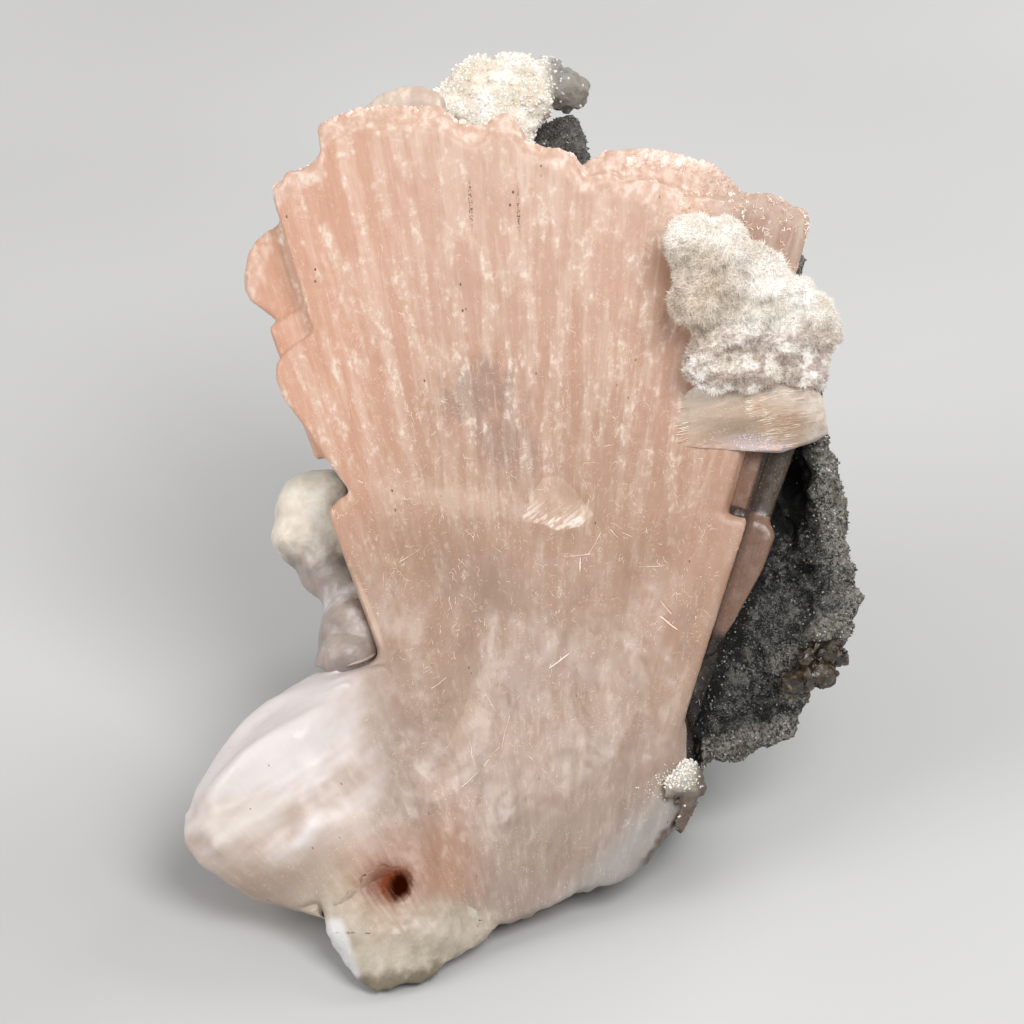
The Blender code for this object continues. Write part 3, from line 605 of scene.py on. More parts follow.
def middle_marks(f, sheaf, parts, body, fray):
    """Grey glassy patches about the middle, the pale band, the chip's fresh surface and its painted
    highlights.
    """
    across, up = parts[:2]
    grey = f.most(
        f.spot(parts, -2.2, 8.2, 2.5, 2.2, wobble=fray, soft=0.9),
        f.times(f.spot(parts, -0.8, 5.2, 3.0, 1.5, turn=-40, wobble=fray, soft=1.0), 0.8),
        f.times(f.spot(parts, -2.0, -5.0, 3.4, 2.2, turn=-30, wobble=fray, soft=1.3), 0.5),
        f.times(f.spot(parts, 1.8, -10.6, 2.6, 3.0, wobble=fray, soft=1.3), 0.35))
    body = f.over(body, grey, 0.7, shade(148, 128, 119))
    band = f.spot(parts, -3.4, 0.9, 5.4, 0.9, turn=-9, wobble=fray, soft=1.3)
    body = f.over(body, band, 0.55, shade(226, 200, 182))
    edge = [(0.8, -0.5), (1.6, 1.5), (2.2, 2.4), (3.1, 2.5),
            (4.0, 1.9), (5.7, -0.2), (4.8, -0.9), (3.4, -1.2)]
    chip = f.inside(parts, edge, 0.12, f.times(fray, 0.16))
    body = f.over(body, chip, 0.55, shade(222, 194, 172))
    # Painted highlights: the splinters of the chip's lower part and a small glint on it.
    splinter = f.grain(f.stretch(f.turned(sheaf, -38), (7, 1, 1)), 0.2, 1.0, 0.6)
    lit = f.times(chip, f.rise(f.plus(up, across, 0.25), 1.9, 0.3))
    body = f.blend(f.times(lit, f.rise(splinter, 0.46, 0.6)), body, shade(252, 236, 220))
    glint = f.spot(parts, 4.5, -0.6, 0.65, 0.22, turn=24, soft=0.6, wobble=f.times(fray, 0.3))
    body = f.blend(glint, body, shade(255, 252, 250))
    # Painted highlights along thin bevels of the root's left edge.
    bevel = f.most(f.spot(parts, -10.0, -6.9, 2.5, 0.2, turn=-68.6, soft=0.8),
                   f.spot(parts, -11.8, 1.75, 1.2, 0.28, turn=-53.6, soft=0.8))
    return f.over(body, bevel, 0.6, shade(236, 210, 192))


def lobe_lustre(f, sheaf, parts, body, cloud):
    """The pearly lobe at the lower left, with painted highlights towards its upper left and in sheen
    spots, and its beige underside.
    """
    across, up = parts[:2]
    pearl = f.times(f.rise(f.plus(across, cloud, 3.0), -6.2, -9.6), f.rise(up, -8.6, -12.0))
    silk = f.grain(f.stretch(f.turned(sheaf, -38), (2.6, 1, 2)), 2.0, 2.0, 0.5)
    # Painted highlight: lighter towards the lobe's upper-left ridge.
    upper = f.rise(f.plus(up, across, -0.55), -11.5, -5.0, 0.0, 0.22)
    silk = f.plus(upper, silk)
    lustre = f.ramp(silk, (0.36, shade(198, 180, 170)), (0.52, shade(214, 198, 190)),
                    (0.66, shade(231, 222, 221)), (0.78, shade(245, 242, 247)))
    belly = f.rise(f.plus(up, across, -0.32), -17.8, -20.4)
    lustre = f.over(lustre, belly, 0.85, shade(190, 170, 154))
    brushed = f.sway(silk, -1.6)
    # Two painted sheen highlights on the lobe.
    sheen = f.spot(parts, -17.0, -16.4, 6.4, 2.9, turn=36, soft=1.2, wobble=brushed)
    lustre = f.over(lustre, sheen, 0.9, shade(248, 244, 248))
    sheen = f.spot(parts, -18.6, -21.2, 3.0, 1.5, turn=10, soft=1.2, wobble=brushed)
    lustre = f.over(lustre, sheen, 0.7, shade(238, 232, 226))
    return f.blend(pearl, body, lustre)


def root_edges(f, sheaf, parts, body, fray):
    """Rust and chalk creep up from the foot; the right edge is milky, with a dark glassy border."""
    across, up = parts[:2]
    rust = f.spot(parts, -4.2, -24.2, 1.9, 4.2, wobble=f.times(fray, 0.4), soft=1.8)
    body = f.over(body, rust, 0.7, shade(184, 138, 112))
    creep = f.plus(f.plus(up, across, 0.375), fray, 0.7)
    cream = f.times(f.rise(creep, -27.4, -29.4),
                    f.spot(parts, -7.3, -29.6, 7.2, 7.6, soft=0.5, wobble=f.times(fray, 0.12)))
    body = f.blend(cream, body, chalk_tones(f, sheaf, parts))
    slope = f.plus(f.times(across, 0.72), up, -0.69)
    slope = f.plus(slope, f.grain(sheaf, 1.2, 1.0), 1.6)
    rim = f.times(f.rise(slope, 20.4, 23.0), f.rise(up, -12.0, -17.0))
    body = f.over(body, rim, 0.8, shade(166, 167, 166))
    glassy = f.times(f.rise(slope, 23.7, 24.3), f.rise(up, -15.5, -17.5), f.rise(across, 8.6, 9.6))
    return f.over(body, glassy, 0.85, shade(72, 54, 42))


def chalk_tones(f, sheaf, parts):
    """The chalk's mottled cream, with its left facet painted white as a highlight, and its olive
    underside.
    """
    across, up = parts[:2]
    mottle = f.grain(sheaf, 1.6, 3.0, 0.6)
    body = f.ramp(mottle, (0.34, shade(182, 172, 155)), (0.5, shade(198, 188, 172)),
                  (0.66, shade(214, 205, 192)))
    # Painted highlight: the left facet is lightened to white.
    facet = f.times(f.rise(f.plus(across, up, 0.33), -20.6, -21.2), f.rise(up, -27.6, -28.4))
    body = f.blend(facet, body, shade(228, 230, 234))
    ragged = f.plus(f.plus(up, across, -0.12), f.sway(mottle, 2.2))
    olive = f.times(f.rise(ragged, -30.0, -31.2), f.rise(across, -10.9, -10.3))
    return f.over(body, olive, 0.8, shade(116, 106, 84))


def veils(f, fan, parts, body):
    """Soft milky clouds in columns along the blades, fine lines, and faint dark seams.

    Also gives the share of the palest clouds, which are glossier.
    """
    across, up = parts[:2]
    column = f.grain(f.stretch(fan, (1, 7, 3)), 1.0, 2.0, 0.5)
    patch = f.grain(f.stretch(fan, (1, 1.7, 3)), 1.3, 3.0, 0.6)
    puff = f.grain(f.stretch(fan, (1, 1.8, 3)), 0.42, 4.0, 0.68)
    high = f.rise(up, -8.0, 10.0, 0.12, 1.0)
    top = f.rise(up, -6.0, 12.0, 0.2, 1.0)
    body = f.blend(f.times(f.rise(column, 0.56, 0.44, 0.0, 0.26), high), body, shade(206, 158, 140))
    body = f.blend(f.times(f.rise(column, 0.46, 0.6, 0.0, 0.3), high), body, shade(238, 212, 198))
    top = f.times(top, f.rise(across, 12.6, 15.0, 1.0, 0.3))
    veil = f.times(f.rise(column, 0.4, 0.56), f.rise(patch, 0.44, 0.6), top)
    pale = f.times(veil, f.rise(puff, 0.44, 0.66, 0.06, 0.95))
    body = f.blend(pale, body, shade(255, 240, 226))
    body = f.blend(f.times(f.rise(puff, 0.54, 0.7, 0.0, 0.3), high), body, shade(250, 226, 208))
    lines = f.grain(f.stretch(fan, (1, 16, 3)), 0.24, 2.0, 0.7)
    broken = f.times(f.rise(patch, 0.58, 0.42, 0.3, 1.0), high)
    body = f.blend(f.times(f.rise(lines, 0.54, 0.68, 0.0, 0.2), broken), body, shade(180, 136, 118))
    body = f.blend(f.times(f.rise(lines, 0.46, 0.32, 0.0, 0.26), broken), body, shade(246, 224, 208))
    return body, pale


def flecks(f, fan, sheaf, parts, body, far):
    """White crumbs of fibre caught just under the face, and dark specks in its creases."""
    crowd = f.most(f.rise(f.grain(sheaf, 2.4, 1.0, 0.6), 0.42, 0.62, 0.15, 1.0), far)
    fine = f.grain(f.stretch(sheaf, (1, 1.3, 1)), 0.13, 1.0, 0.8)
    body = f.over(body, f.times(f.rise(fine, 0.63, 0.7), crowd), 0.5, shade(248, 226, 206))
    dots = f.cells(f.stretch(fan, (1, 1.6, 1)), 0.75)
    rare = f.rise(f.grain(f.stretch(fan, (1, 9, 1)), 1.1, 0.0), 0.62, 0.68)
    trail = f.most(f.spot(parts, -2.9, 21.6, 0.13, 1.6, turn=3, soft=0.6),
                   f.spot(parts, 0.45, 21.0, 0.12, 1.5, turn=2, soft=0.6))
    speck = f.most(f.times(f.rise(dots, 0.12, 0.07), rare), f.times(trail, f.rise(fine, 0.5, 0.58)))
    return f.over(body, speck, 0.85, shade(66, 46, 38))


def rust_pit(f, parts, body, fray):
    """The rusty stain and its dark core, where the foot meets the root. Also gives their share."""
    torn = f.times(fray, 0.4)
    stain = f.spot(parts, -8.2, -25.1, 3.2, 2.8, soft=1.6, wobble=torn)
    body = f.over(body, stain, 0.6, shade(186, 136, 108))
    halo = f.spot(parts, -8.5, -25.4, 1.6, 1.3, soft=1.4, wobble=torn)
    body = f.over(body, halo, 0.95, shade(128, 62, 34))
    core = f.spot(parts, -7.7, -25.7, 0.75, 0.95, turn=-20, wobble=f.times(fray, 0.3))
    return f.blend(core, body, shade(48, 12, 1)), f.most(core, f.times(halo, 0.6))


def smoky_finish():
    """The see-through side blades: brown and smoky, dark where the rock is behind them."""
    f = Finish("smoky heulandite", transmission_weight=0.35, ior=1.5, specular_ior_level=0.5)
    sheaf = f.sheaf_place()
    fan = f.fan_place(sheaf)
    reach = f.split(fan)[1]
    streak = f.grain(f.stretch(fan, (1, 12, 1)), 0.5, 3.0, 0.6)
    degrees = f.maths("ADD", f.degrees(fan), f.sway(streak, 0.5))
    above = f.ramp(f.rise(degrees, 14.0, 20.0), (0.0, shade(190, 146, 122)), (0.5, shade(176, 134, 112)),
                   (0.58, shade(70, 56, 44)), (1.0, shade(96, 80, 64)))
    thumb = f.ramp(f.rise(degrees, 14.0, 21.0), (0.12, shade(110, 86, 70)), (0.24, shade(78, 61, 50)),
                   (0.5, shade(90, 68, 56)), (0.66, shade(164, 126, 106)), (1.0, shade(182, 146, 126)))
    below = f.ramp(f.rise(degrees, 12.0, 20.0), (0.2, shade(92, 68, 52)), (0.4, shade(42, 31, 24)),
                   (1.0, shade(26, 20, 16)))
    body = f.blend(f.rise(reach, 45.7, 45.8), thumb, above)
    body = f.blend(f.rise(reach, 37.4, 36.4), body, below)
    body = f.blend(f.rise(streak, 0.4, 0.7, 0.0, 0.25), body, shade(120, 92, 78))
    fleck = f.rise(f.grain(sheaf, 0.14, 2.0, 0.8), 0.63, 0.7)
    body = f.over(body, fleck, 0.7, shade(236, 214, 196))
    gloss = f.rise(f.grain(sheaf, 0.5, 3.0), 0.3, 0.7, 0.2, 0.42)
    return f.wear(body, gloss, f.bump(streak, 0.05))


def crest_finish(name="crest crystals"):
    """The clearer, paler crystals along the crest."""
    f = Finish(name, ior=1.5, coat_weight=0.2, coat_roughness=0.15)
    sheaf = f.sheaf_place()
    fan = f.fan_place(sheaf)
    tone = f.grain(f.stretch(fan, (1, 3, 1)), 0.5, 4.0, 0.6)
    across = f.split(sheaf)[0]
    body = f.ramp(tone, (0.3, pure(220, 182, 164)), (0.5, pure(234, 204, 188)),
                  (0.66, pure(250, 236, 226)))
    body = f.blend(f.rise(across, 12.5, 15.5, 0.0, 0.7), body, pure(190, 164, 148))
    gloss = f.rise(tone, 0.3, 0.7, 0.18, 0.45)
    return f.wear(body, gloss, f.bump(f.grain(sheaf, 0.15, 3.0), 0.03))


def fibre_finish(name="loose fibre"):
    """The tiny loose fibres on the face."""
    f = Finish(name, sheen_weight=0.2)
    tone = f.grain(f.place(), 0.9, 1.0)
    body = f.ramp(tone, (0.35, pure(216, 186, 164)), (0.5, pure(236, 212, 192)),
                  (0.65, pure(252, 240, 228)))
    return f.wear(body, f.rise(tone, 0.3, 0.7, 0.4, 0.6))


def tuft_finish(name="fibrous white"):
    """White, with painted shade: warmer at the left, and pinkish grey in the lower crevices."""
    f = Finish(name, sheen_weight=0.2)
    sheaf = f.sheaf_place()
    parts = f.split(sheaf)
    broad = f.grain(sheaf, 3.4, 2.0, 0.5)
    fine = f.grain(sheaf, 0.5, 3.0, 0.6)
    body = f.ramp(broad, (0.36, pure(232, 225, 214)), (0.5, pure(243, 238, 231)),
                  (0.64, pure(251, 248, 244)))
    body = f.blend(f.rise(fine, 0.46, 0.3, 0.0, 0.4), body, pure(206, 192, 176))
    # Painted shade, warm, on the tuft's left side.
    warm = f.spot(parts, 13.2, 14.6, 2.4, 3.4, turn=-30, soft=1.6, wobble=f.sway(broad, 1.0))
    body = f.over(body, warm, 0.75, pure(206, 188, 166))
    # Painted shade, pinkish grey, in the lower crevices.
    crevice_shade = f.times(f.rise(parts[1], 14.0, 11.2), f.rise(f.grain(sheaf, 1.3, 2.0, 0.6), 0.6, 0.44))
    body = f.over(body, crevice_shade, 0.8, pure(186, 168, 156))
    specks = f.times(f.rise(f.cells(sheaf, 1.5), 0.06, 0.03), f.rise(broad, 0.45, 0.55))
    body = f.blend(specks, body, shade(80, 66, 56))
    return f.wear(body, f.rise(fine, 0.3, 0.7, 0.5, 0.8))


def silky_finish():
    """Cream fibres laid side by side, whiter and fuzzy at the left end, lilac along the ledge with
    painted glints.
    """
    f = Finish("silky cream", subsurface_weight=0.1, subsurface_scale=0.0003, sheen_weight=0.15,
               sheen_roughness=0.4, coat_weight=0.1, coat_roughness=0.3)
    sheaf = f.sheaf_place()
    parts = f.split(sheaf)
    across, up, out = parts
    curved = f.join(across, f.plus(up, f.grain(sheaf, 6.0, 2.0), 2.2), out)
    bent = f.turned(curved, -10)
    hair = f.grain(f.stretch(bent, (14, 1, 3)), 0.13, 4.0, 0.7)
    strand = f.grain(f.stretch(bent, (6, 1, 3)), 0.9, 4.0, 0.6)
    body = f.ramp(strand, (0.32, shade(192, 170, 150)), (0.52, shade(202, 182, 163)),
                  (0.68, shade(216, 200, 184)))
    body = f.blend(f.rise(hair, 0.54, 0.7, 0.0, 0.4), body, shade(236, 224, 208))
    body = f.blend(f.rise(hair, 0.46, 0.32, 0.0, 0.12), body, shade(166, 140, 120))
    white = f.most(f.rise(across, 12.6, 10.0), f.rise(up, 7.2, 8.8), f.rise(across, 19.6, 21.2))
    fuzzy = f.times(white, f.rise(f.grain(sheaf, 0.5, 4.0, 0.7), 0.36, 0.6, 0.25, 0.9))
    body = f.blend(fuzzy, body, shade(238, 230, 220))
    frayed = f.sway(f.grain(sheaf, 0.6, 3.0, 0.7), 3.0)
    underside = f.plus(f.plus(up, across, 0.1), frayed, 0.4)
    melted = f.most(f.rise(f.plus(across, frayed), 12.2, 10.6), f.rise(underside, 7.2, 6.4))
    melted = f.times(melted, f.rise(across, 16.6, 15.2))
    body = f.over(body, melted, 0.8, shade(214, 184, 164))
    # Pale lilac along the ledge, partly the ledge's own tint and partly painted glints.
    ledge = f.spot(parts, 17.2, 4.7, 2.6, 0.6, turn=-6, soft=0.8, wobble=f.sway(hair, 1.2))
    body = f.over(body, ledge, 0.6, shade(226, 210, 218))
    amber = f.spot(parts, 18.8, 6.4, 2.2, 0.9, turn=-8, soft=1.4)
    body = f.over(body, amber, 0.35, shade(186, 148, 112))
    relief = f.bump(hair, 0.02, f.bump(strand, 0.04))
    return f.wear(body, f.rise(hair, 0.3, 0.7, 0.34, 0.6), relief)


def knob_finish():
    """The cream knob above and the greyish one below it."""
    f = Finish("pearly white", subsurface_weight=0.35, subsurface_scale=0.0012, coat_weight=0.15,
               coat_roughness=0.3)
    sheaf = f.sheaf_place()
    up = f.split(sheaf)[1]
    soft = f.grain(sheaf, 2.6, 4.0, 0.55, 0.3)
    cream = f.ramp(soft, (0.34, pure(206, 196, 180)), (0.52, pure(228, 220, 206)),
                   (0.66, pure(244, 241, 232)))
    grey = f.ramp(soft, (0.36, shade(160, 149, 146)), (0.54, shade(190, 178, 172)),
                  (0.66, shade(226, 220, 222)))
    body = f.blend(f.rise(f.maths("ADD", up, f.sway(soft, 4.0)), -1.0, -4.6), cream, grey)
    return f.wear(body, f.rise(soft, 0.3, 0.7, 0.3, 0.5), f.bump(f.grain(sheaf, 0.6, 4.0, 0.6), 0.08))


def chalk_finish():
    """Cream and chalky, with a rusty pit, a left facet painted white as a highlight, and an olive
    underside.
    """
    f = Finish("chalky cream")
    sheaf = f.sheaf_place()
    parts = f.split(sheaf)
    mottle = f.grain(sheaf, 1.6, 3.0, 0.6)
    body = rust_pit(f, parts, chalk_tones(f, sheaf, parts), f.sway(mottle, 1.5))[0]
    relief = f.bump(f.grain(sheaf, 0.4, 3.0, 0.65), 0.1)
    return f.wear(body, f.rise(mottle, 0.3, 0.7, 0.55, 0.8), relief)


def basalt_finish():
    """Dark grey and granular, black with painted shade in its hollow, paler along its broken rim and its
    lower lip.
    """
    f = Finish("basalt grey", specular_ior_level=0.4)
    place = f.place()
    sheaf = f.sheaf_place()
    parts = f.split(sheaf)
    fine = f.grain(place, 0.14, 3.0, 0.7)
    middle = f.grain(place, 0.6, 4.0, 0.65)
    broad = f.grain(place, 3.0, 2.0, 0.6)
    body = f.ramp(middle, (0.38, shade(18, 18, 19)), (0.5, shade(54, 56, 55)),
                  (0.6, shade(128, 129, 125)))
    body = f.blend(f.rise(fine, 0.52, 0.68, 0.0, 0.85), body, shade(168, 169, 166))
    body = f.blend(f.rise(fine, 0.46, 0.32, 0.0, 0.85), body, shade(12, 11, 12))
    body = f.blend(f.rise(broad, 0.44, 0.34, 0.0, 0.75), body, shade(16, 15, 15))
    hill = f.shared("hill")
    # Painted shade: darker in the low places between the rock's hills.
    body = f.blend(f.rise(hill, 0.42, 0.2, 0.0, 0.85), body, shade(14, 13, 13))
    # The hilltops are lighter, partly wear and partly a painted highlight.
    worn_and_lit_tops = f.times(f.rise(hill, 0.5, 0.8), f.rise(fine, 0.46, 0.6, 0.1, 0.7))
    body = f.blend(worn_and_lit_tops, body, shade(142, 143, 140))
    rim = f.shared("rim")
    salty = f.times(rim, f.rise(f.grain(place, 0.3, 3.0, 0.75), 0.44, 0.58))
    body = f.over(body, salty, 0.85, shade(182, 180, 172))
    olive = f.times(f.rise(f.grain(place, 1.3, 1.0), 0.52, 0.66, 0.0, 0.5), rim)
    body = f.blend(olive, body, shade(98, 86, 62))
    ragged = f.sway(f.grain(place, 1.2, 2.0, 0.6), 2.2)
    # Painted shade: the hollow is painted nearly black.
    hollow = f.spot(parts, 20.0, 1.4, 1.3, 3.2, turn=8, soft=0.9, wobble=ragged)
    body = f.over(body, hollow, 0.94, shade(8, 5, 4))
    # Painted shadow of the blades on the rock beside them.
    fan_shadow = f.rise(f.maths("ADD", f.degrees(f.fan_place(sheaf)), ragged), 21.9, 20.6)
    fan_shadow = f.times(fan_shadow, f.rise(parts[1], 9.0, 7.0))
    body = f.over(body, fan_shadow, 0.85, shade(10, 8, 8))
    horn = f.times(f.rise(parts[1], 17.0, 21.0), f.rise(fine, 0.42, 0.62, 0.3, 1.0))
    body = f.over(body, horn, 0.7, shade(134, 132, 128))
    relief = f.bump(middle, 0.4, f.bump(fine, 0.18))
    return f.wear(body, f.rise(fine, 0.3, 0.7, 0.5, 0.85), relief)


def grain_finish(name, dark, light):
    """Small grains, each a tone between the two."""
    f = Finish(name)
    tone = f.grain(f.place(), 0.35, 2.0, 0.6)
    body = f.ramp(tone, (0.35, dark), (0.65, light))
    return f.wear(body, f.rise(tone, 0.3, 0.7, 0.25, 0.5))


def crust_finish():
    """White and granular, creamy with painted shade in its hollows, grey at the right and brown at the
    root's edge.
    """
    f = Finish("white crust", subsurface_weight=0.3, subsurface_scale=0.0008)
    place = f.place()
    broad = f.grain(place, 2.2, 4.0, 0.55)
    fine = f.grain(place, 0.35, 4.0, 0.7)
    body = f.ramp(broad, (0.36, pure(222, 208, 190)), (0.52, pure(242, 234, 222)),
                  (0.66, pure(252, 250, 246)))
    # Painted shade: darker cream where the grain's relief is low.
    body = f.blend(f.rise(fine, 0.5, 0.34, 0.0, 0.4), body, shade(190, 172, 152))
    across, up = f.split(f.sheaf_place())[:2]
    grey = f.times(f.rise(f.plus(across, broad, 2.0), 3.0, 4.4), f.rise(up, 20.0, 24.0))
    body = f.over(body, grey, 0.8, shade(118, 118, 114))
    at_root = f.rise(up, -14.0, -16.0)
    body = f.over(body, at_root, 0.7, shade(176, 170, 162))
    brown_edge = f.most(f.rise(up, -19.0, -20.2), f.times(f.rise(across, 12.5, 13.3), at_root))
    body = f.over(body, brown_edge, 0.9, shade(98, 82, 68))
    return f.wear(body, f.rise(fine, 0.3, 0.7, 0.45, 0.75), f.bump(fine, 0.14))


def brown_finish(name="brown crystal"):
    """Small brown crystals, glassy and partly clear."""
    f = Finish(name, transmission_weight=0.25, ior=1.55, coat_weight=0.4, coat_roughness=0.1)
    place = f.place()
    tone = f.grain(place, 0.7, 4.0, 0.65, 0.4)
    body = f.ramp(tone, (0.34, shade(18, 12, 7)), (0.5, shade(56, 42, 24)), (0.62, shade(94, 74, 46)),
                  (0.72, shade(190, 180, 158)))
    return f.wear(body, f.rise(tone, 0.3, 0.7, 0.12, 0.5), f.bump(f.grain(place, 0.3, 3.0), 0.1))


# The heulandite


def fan_polar(places):
    """Degrees to the right of up, and the radius, about the blades' centre."""
    across = places[:, 0] - FAN_ACROSS
    up = places[:, 1] - FAN_UP
    return np.degrees(np.arctan2(across, up)), np.hypot(across, up)


# The stepped crest of the front blades, from left to right: degrees and radius.
CREST_LINE = (
    (-20.0, 63.5), (-18.0, 66.4), (-16.7, 68.6), (-16.5, 69.3), (-15.3, 70.0), (-13.4, 70.4),
    (-13.2, 72.5), (-12.2, 73.1), (-11.0, 73.2), (-9.3, 73.1), (-6.3, 72.4), (-5.5, 71.6),
    (-4.4, 70.8), (-3.0, 71.7), (-2.3, 71.4), (-1.6, 69.9), (0.6, 69.0), (1.5, 67.6), (3.4, 67.4),
    (7.0, 66.9), (8.4, 66.4), (11.0, 66.6), (13.2, 67.8), (15.2, 67.3), (15.8, 66.3),
)


def crest_at(degrees):
    """The crest's radius in this direction."""
    return np.interp(degrees, *zip(*CREST_LINE))


def mark(piece, name, values):
    """Keeps a share from 0 to 1 at every point, for the finish to read."""
    piece.data.attributes.new(name, "FLOAT", "POINT").data.foreach_set("value", values)


def front_level(piece, width):
    """How far out the piece's front lies on average over this width. Gives a function of places."""
    cell = 0.4
    places = read_points(piece) / MM
    front = read_normals(piece)[:, 2] > 0.1
    low = places[:, :2].min(axis=0) - 3 * width
    index = ((places[:, :2] - low) / cell).astype(int)
    shape = tuple(index.max(axis=0) + int(3 * width / cell) + 2)
    total, votes = np.zeros(shape), np.zeros(shape)
    np.add.at(total, tuple(index[front].T), places[front, 2])
    np.add.at(votes, tuple(index[front].T), 1)
    there = (votes > 0).astype(float)
    reach = int(2.5 * width / cell)
    bell = np.exp(-0.5 * (np.arange(-reach, reach + 1) * cell / width) ** 2)

    def blur(grid):
        for axis in (0, 1):
            grid = np.apply_along_axis(lambda line: np.convolve(line, bell, mode="same"), axis, grid)
        return grid

    calm = blur(total / np.maximum(votes, 1) * there) / np.maximum(blur(there), 1e-6)

    def level(places):
        at = (places[:, :2] - low) / cell - 0.5
        x, y = np.floor(at).astype(int).T
        right, top = (at - np.floor(at)).T
        lower = (1 - right) * calm[x, y] + right * calm[x + 1, y]
        upper = (1 - right) * calm[x, y + 1] + right * calm[x + 1, y + 1]
        return (1 - top) * lower + top * upper

    return level


def draw_to(piece, level, shares):
    """Draws the front towards this level, where the share is high."""
    places = read_points(piece) / MM
    shares = shares * ease(read_normals(piece)[:, 2], 0.0, 0.5)
    places[:, 2] += (level(places) - places[:, 2]) * shares
    write_points(piece, places * MM)


def from_foot(across, up):
    """How far from the chalky foot's middle, where 1 is its edge."""
    return np.hypot((across + 7.3) / 5.9, (up + 28.4) / 4.7)


def cut_across(piece, height, keep_above):
    """Cuts the piece straight across at this height up the sheaf, and closes the cut."""
    make_active(piece)
    bpy.ops.object.mode_set(mode="EDIT")
    bpy.ops.mesh.select_all(action="SELECT")
    bpy.ops.mesh.bisect(plane_co=(0, height * MM, 0), plane_no=(0, 1, 0), use_fill=True,
                        clear_inner=keep_above, clear_outer=not keep_above)
    bpy.ops.mesh.mark_sharp()
    bpy.ops.object.mode_set(mode="OBJECT")


def join_into(piece, other):
    """Makes the other piece a part of this one."""
    make_active(piece)
    other.select_set(True)
    bpy.ops.object.join()


def bridge_to_foot(piece):
    """Draws the foot's step down to the root, and fills the gap between them with a smooth plate."""
    level = front_level(piece, 1.4)
    places = read_points(piece) / MM
    across, up, out = places.T
    calm = level(places)
    near = ease(from_foot(across, up), 1.5, 1.15) * ease(up, -30.5, -28.5) * (out > calm - 1.0)
    near *= read_normals(piece)[:, 2] > -0.3
    places[:, 2] += (calm - out) * near
    write_points(piece, places * MM)
    bpy.ops.mesh.primitive_grid_add(x_subdivisions=44, y_subdivisions=36, size=2.0)
    plate = bpy.context.object
    x, y, _ = read_points(plate).T
    across = -7.2 + 4.8 * x * np.sqrt(1 - y * y / 2)
    up = -25.5 + 3.8 * y * np.sqrt(1 - x * x / 2)
    places = np.stack((across, up, across * 0), axis=1)
    places[:, 2] = level(places) - 0.02
    write_points(plate, places * MM)
    apply(plate, "SOLIDIFY", thickness=3.2 * MM, offset=-1.0)
    join_into(piece, plate)


def heulandite_fan():
    """The sheaf with its root, lobe, side blades and foot in fine relief; the foot is cut off last."""
    piece = copy_of("heulandite_sheaf", "heulandite_fan")
    foot = copy_of("chalky_foot", "foot_core")
    up = in_sheaf(read_points(foot))[:, 1]
    raise_skin(foot, 0.9 * ease(up, -28.5, -26.0))
    join_into(piece, foot)
    piece.data.transform(SHEAF.inverted())
    apply(piece, "REMESH", mode="VOXEL", voxel_size=CELL_SHEAF * MM)
    bridge_to_foot(piece)
    apply(piece, "REMESH", mode="VOXEL", voxel_size=CELL_SHEAF * MM)
    calm_joints(piece)
    raise_skin(piece, blade_relief(piece))
    thin_behind(piece)

    foot = piece.copy()
    foot.data = piece.data.copy()
    foot.name = "chalk_foot"
    bpy.context.scene.collection.objects.link(foot)
    cut_across(piece, FOOT_CUT, keep_above=True)
    cut_across(foot, FOOT_CUT, keep_above=False)
    places = read_points(piece) / MM
    degrees, reach = fan_polar(places)
    crest = crest_at(degrees)
    clear = ease(reach, crest - 1.8, crest - 1.5) * (places[:, 1] > 8) * ease(places[:, 2], -2.6, -1.9)
    mark(piece, "crest", clear)
    piece.data.transform(SHEAF)
    foot.data.transform(SHEAF)
    finish_piece(piece, ("heulandite_sheaf",), "heulandite", heulandite_finish(), smoky_finish(),
                 heulandite_finish("rusty pit", 0.0, 0.0))
    mark_side_blades(piece)
    chalky_foot(foot)
    return piece


def calm_joints(piece):
    """Draws the root, its seam with the lobe, and the foot to one level, and smooths them."""
    level = front_level(piece, 2.0)
    across, up, out = (read_points(piece) / MM).T
    seam = ease(across, -14.5, -11.0) * ease(across, -2.0, -6.0)
    seam = seam * ease(up, -6.0, -10.0) * ease(up, -30.0, -26.0)
    root = ease(up, 0.0, -5.0) * ease(across, -11.0, -8.5) * ease(across, 13.0, 11.0)
    root *= ease(out, -1.4, -0.6)
    base = ease(from_foot(across, up), 1.5, 1.15) * ease(up, -30.5, -28.5)
    draw_to(piece, level, np.maximum(np.maximum(seam * 0.9, root * 0.55), base))
    across, up, out = (read_points(piece) / MM).T
    root = ease(up, -1.0, -6.0) * ease(across, -12.5, -9.0) * ease(out, -1.2, -0.4) * 0.9
    soft = np.maximum(root, on_lobe(across, up))
    soft = np.maximum(soft, ease(from_foot(across, up), 1.5, 1.2) * ease(up, -30.5, -28.0))
    smooth_where(piece, np.clip(soft, 0, 1), 30)


def on_lobe(across, up):
    """1 on the pearly lobe at the lower left."""
    return ease(across, -6.0, -9.5) * ease(up, -8.5, -11.5)


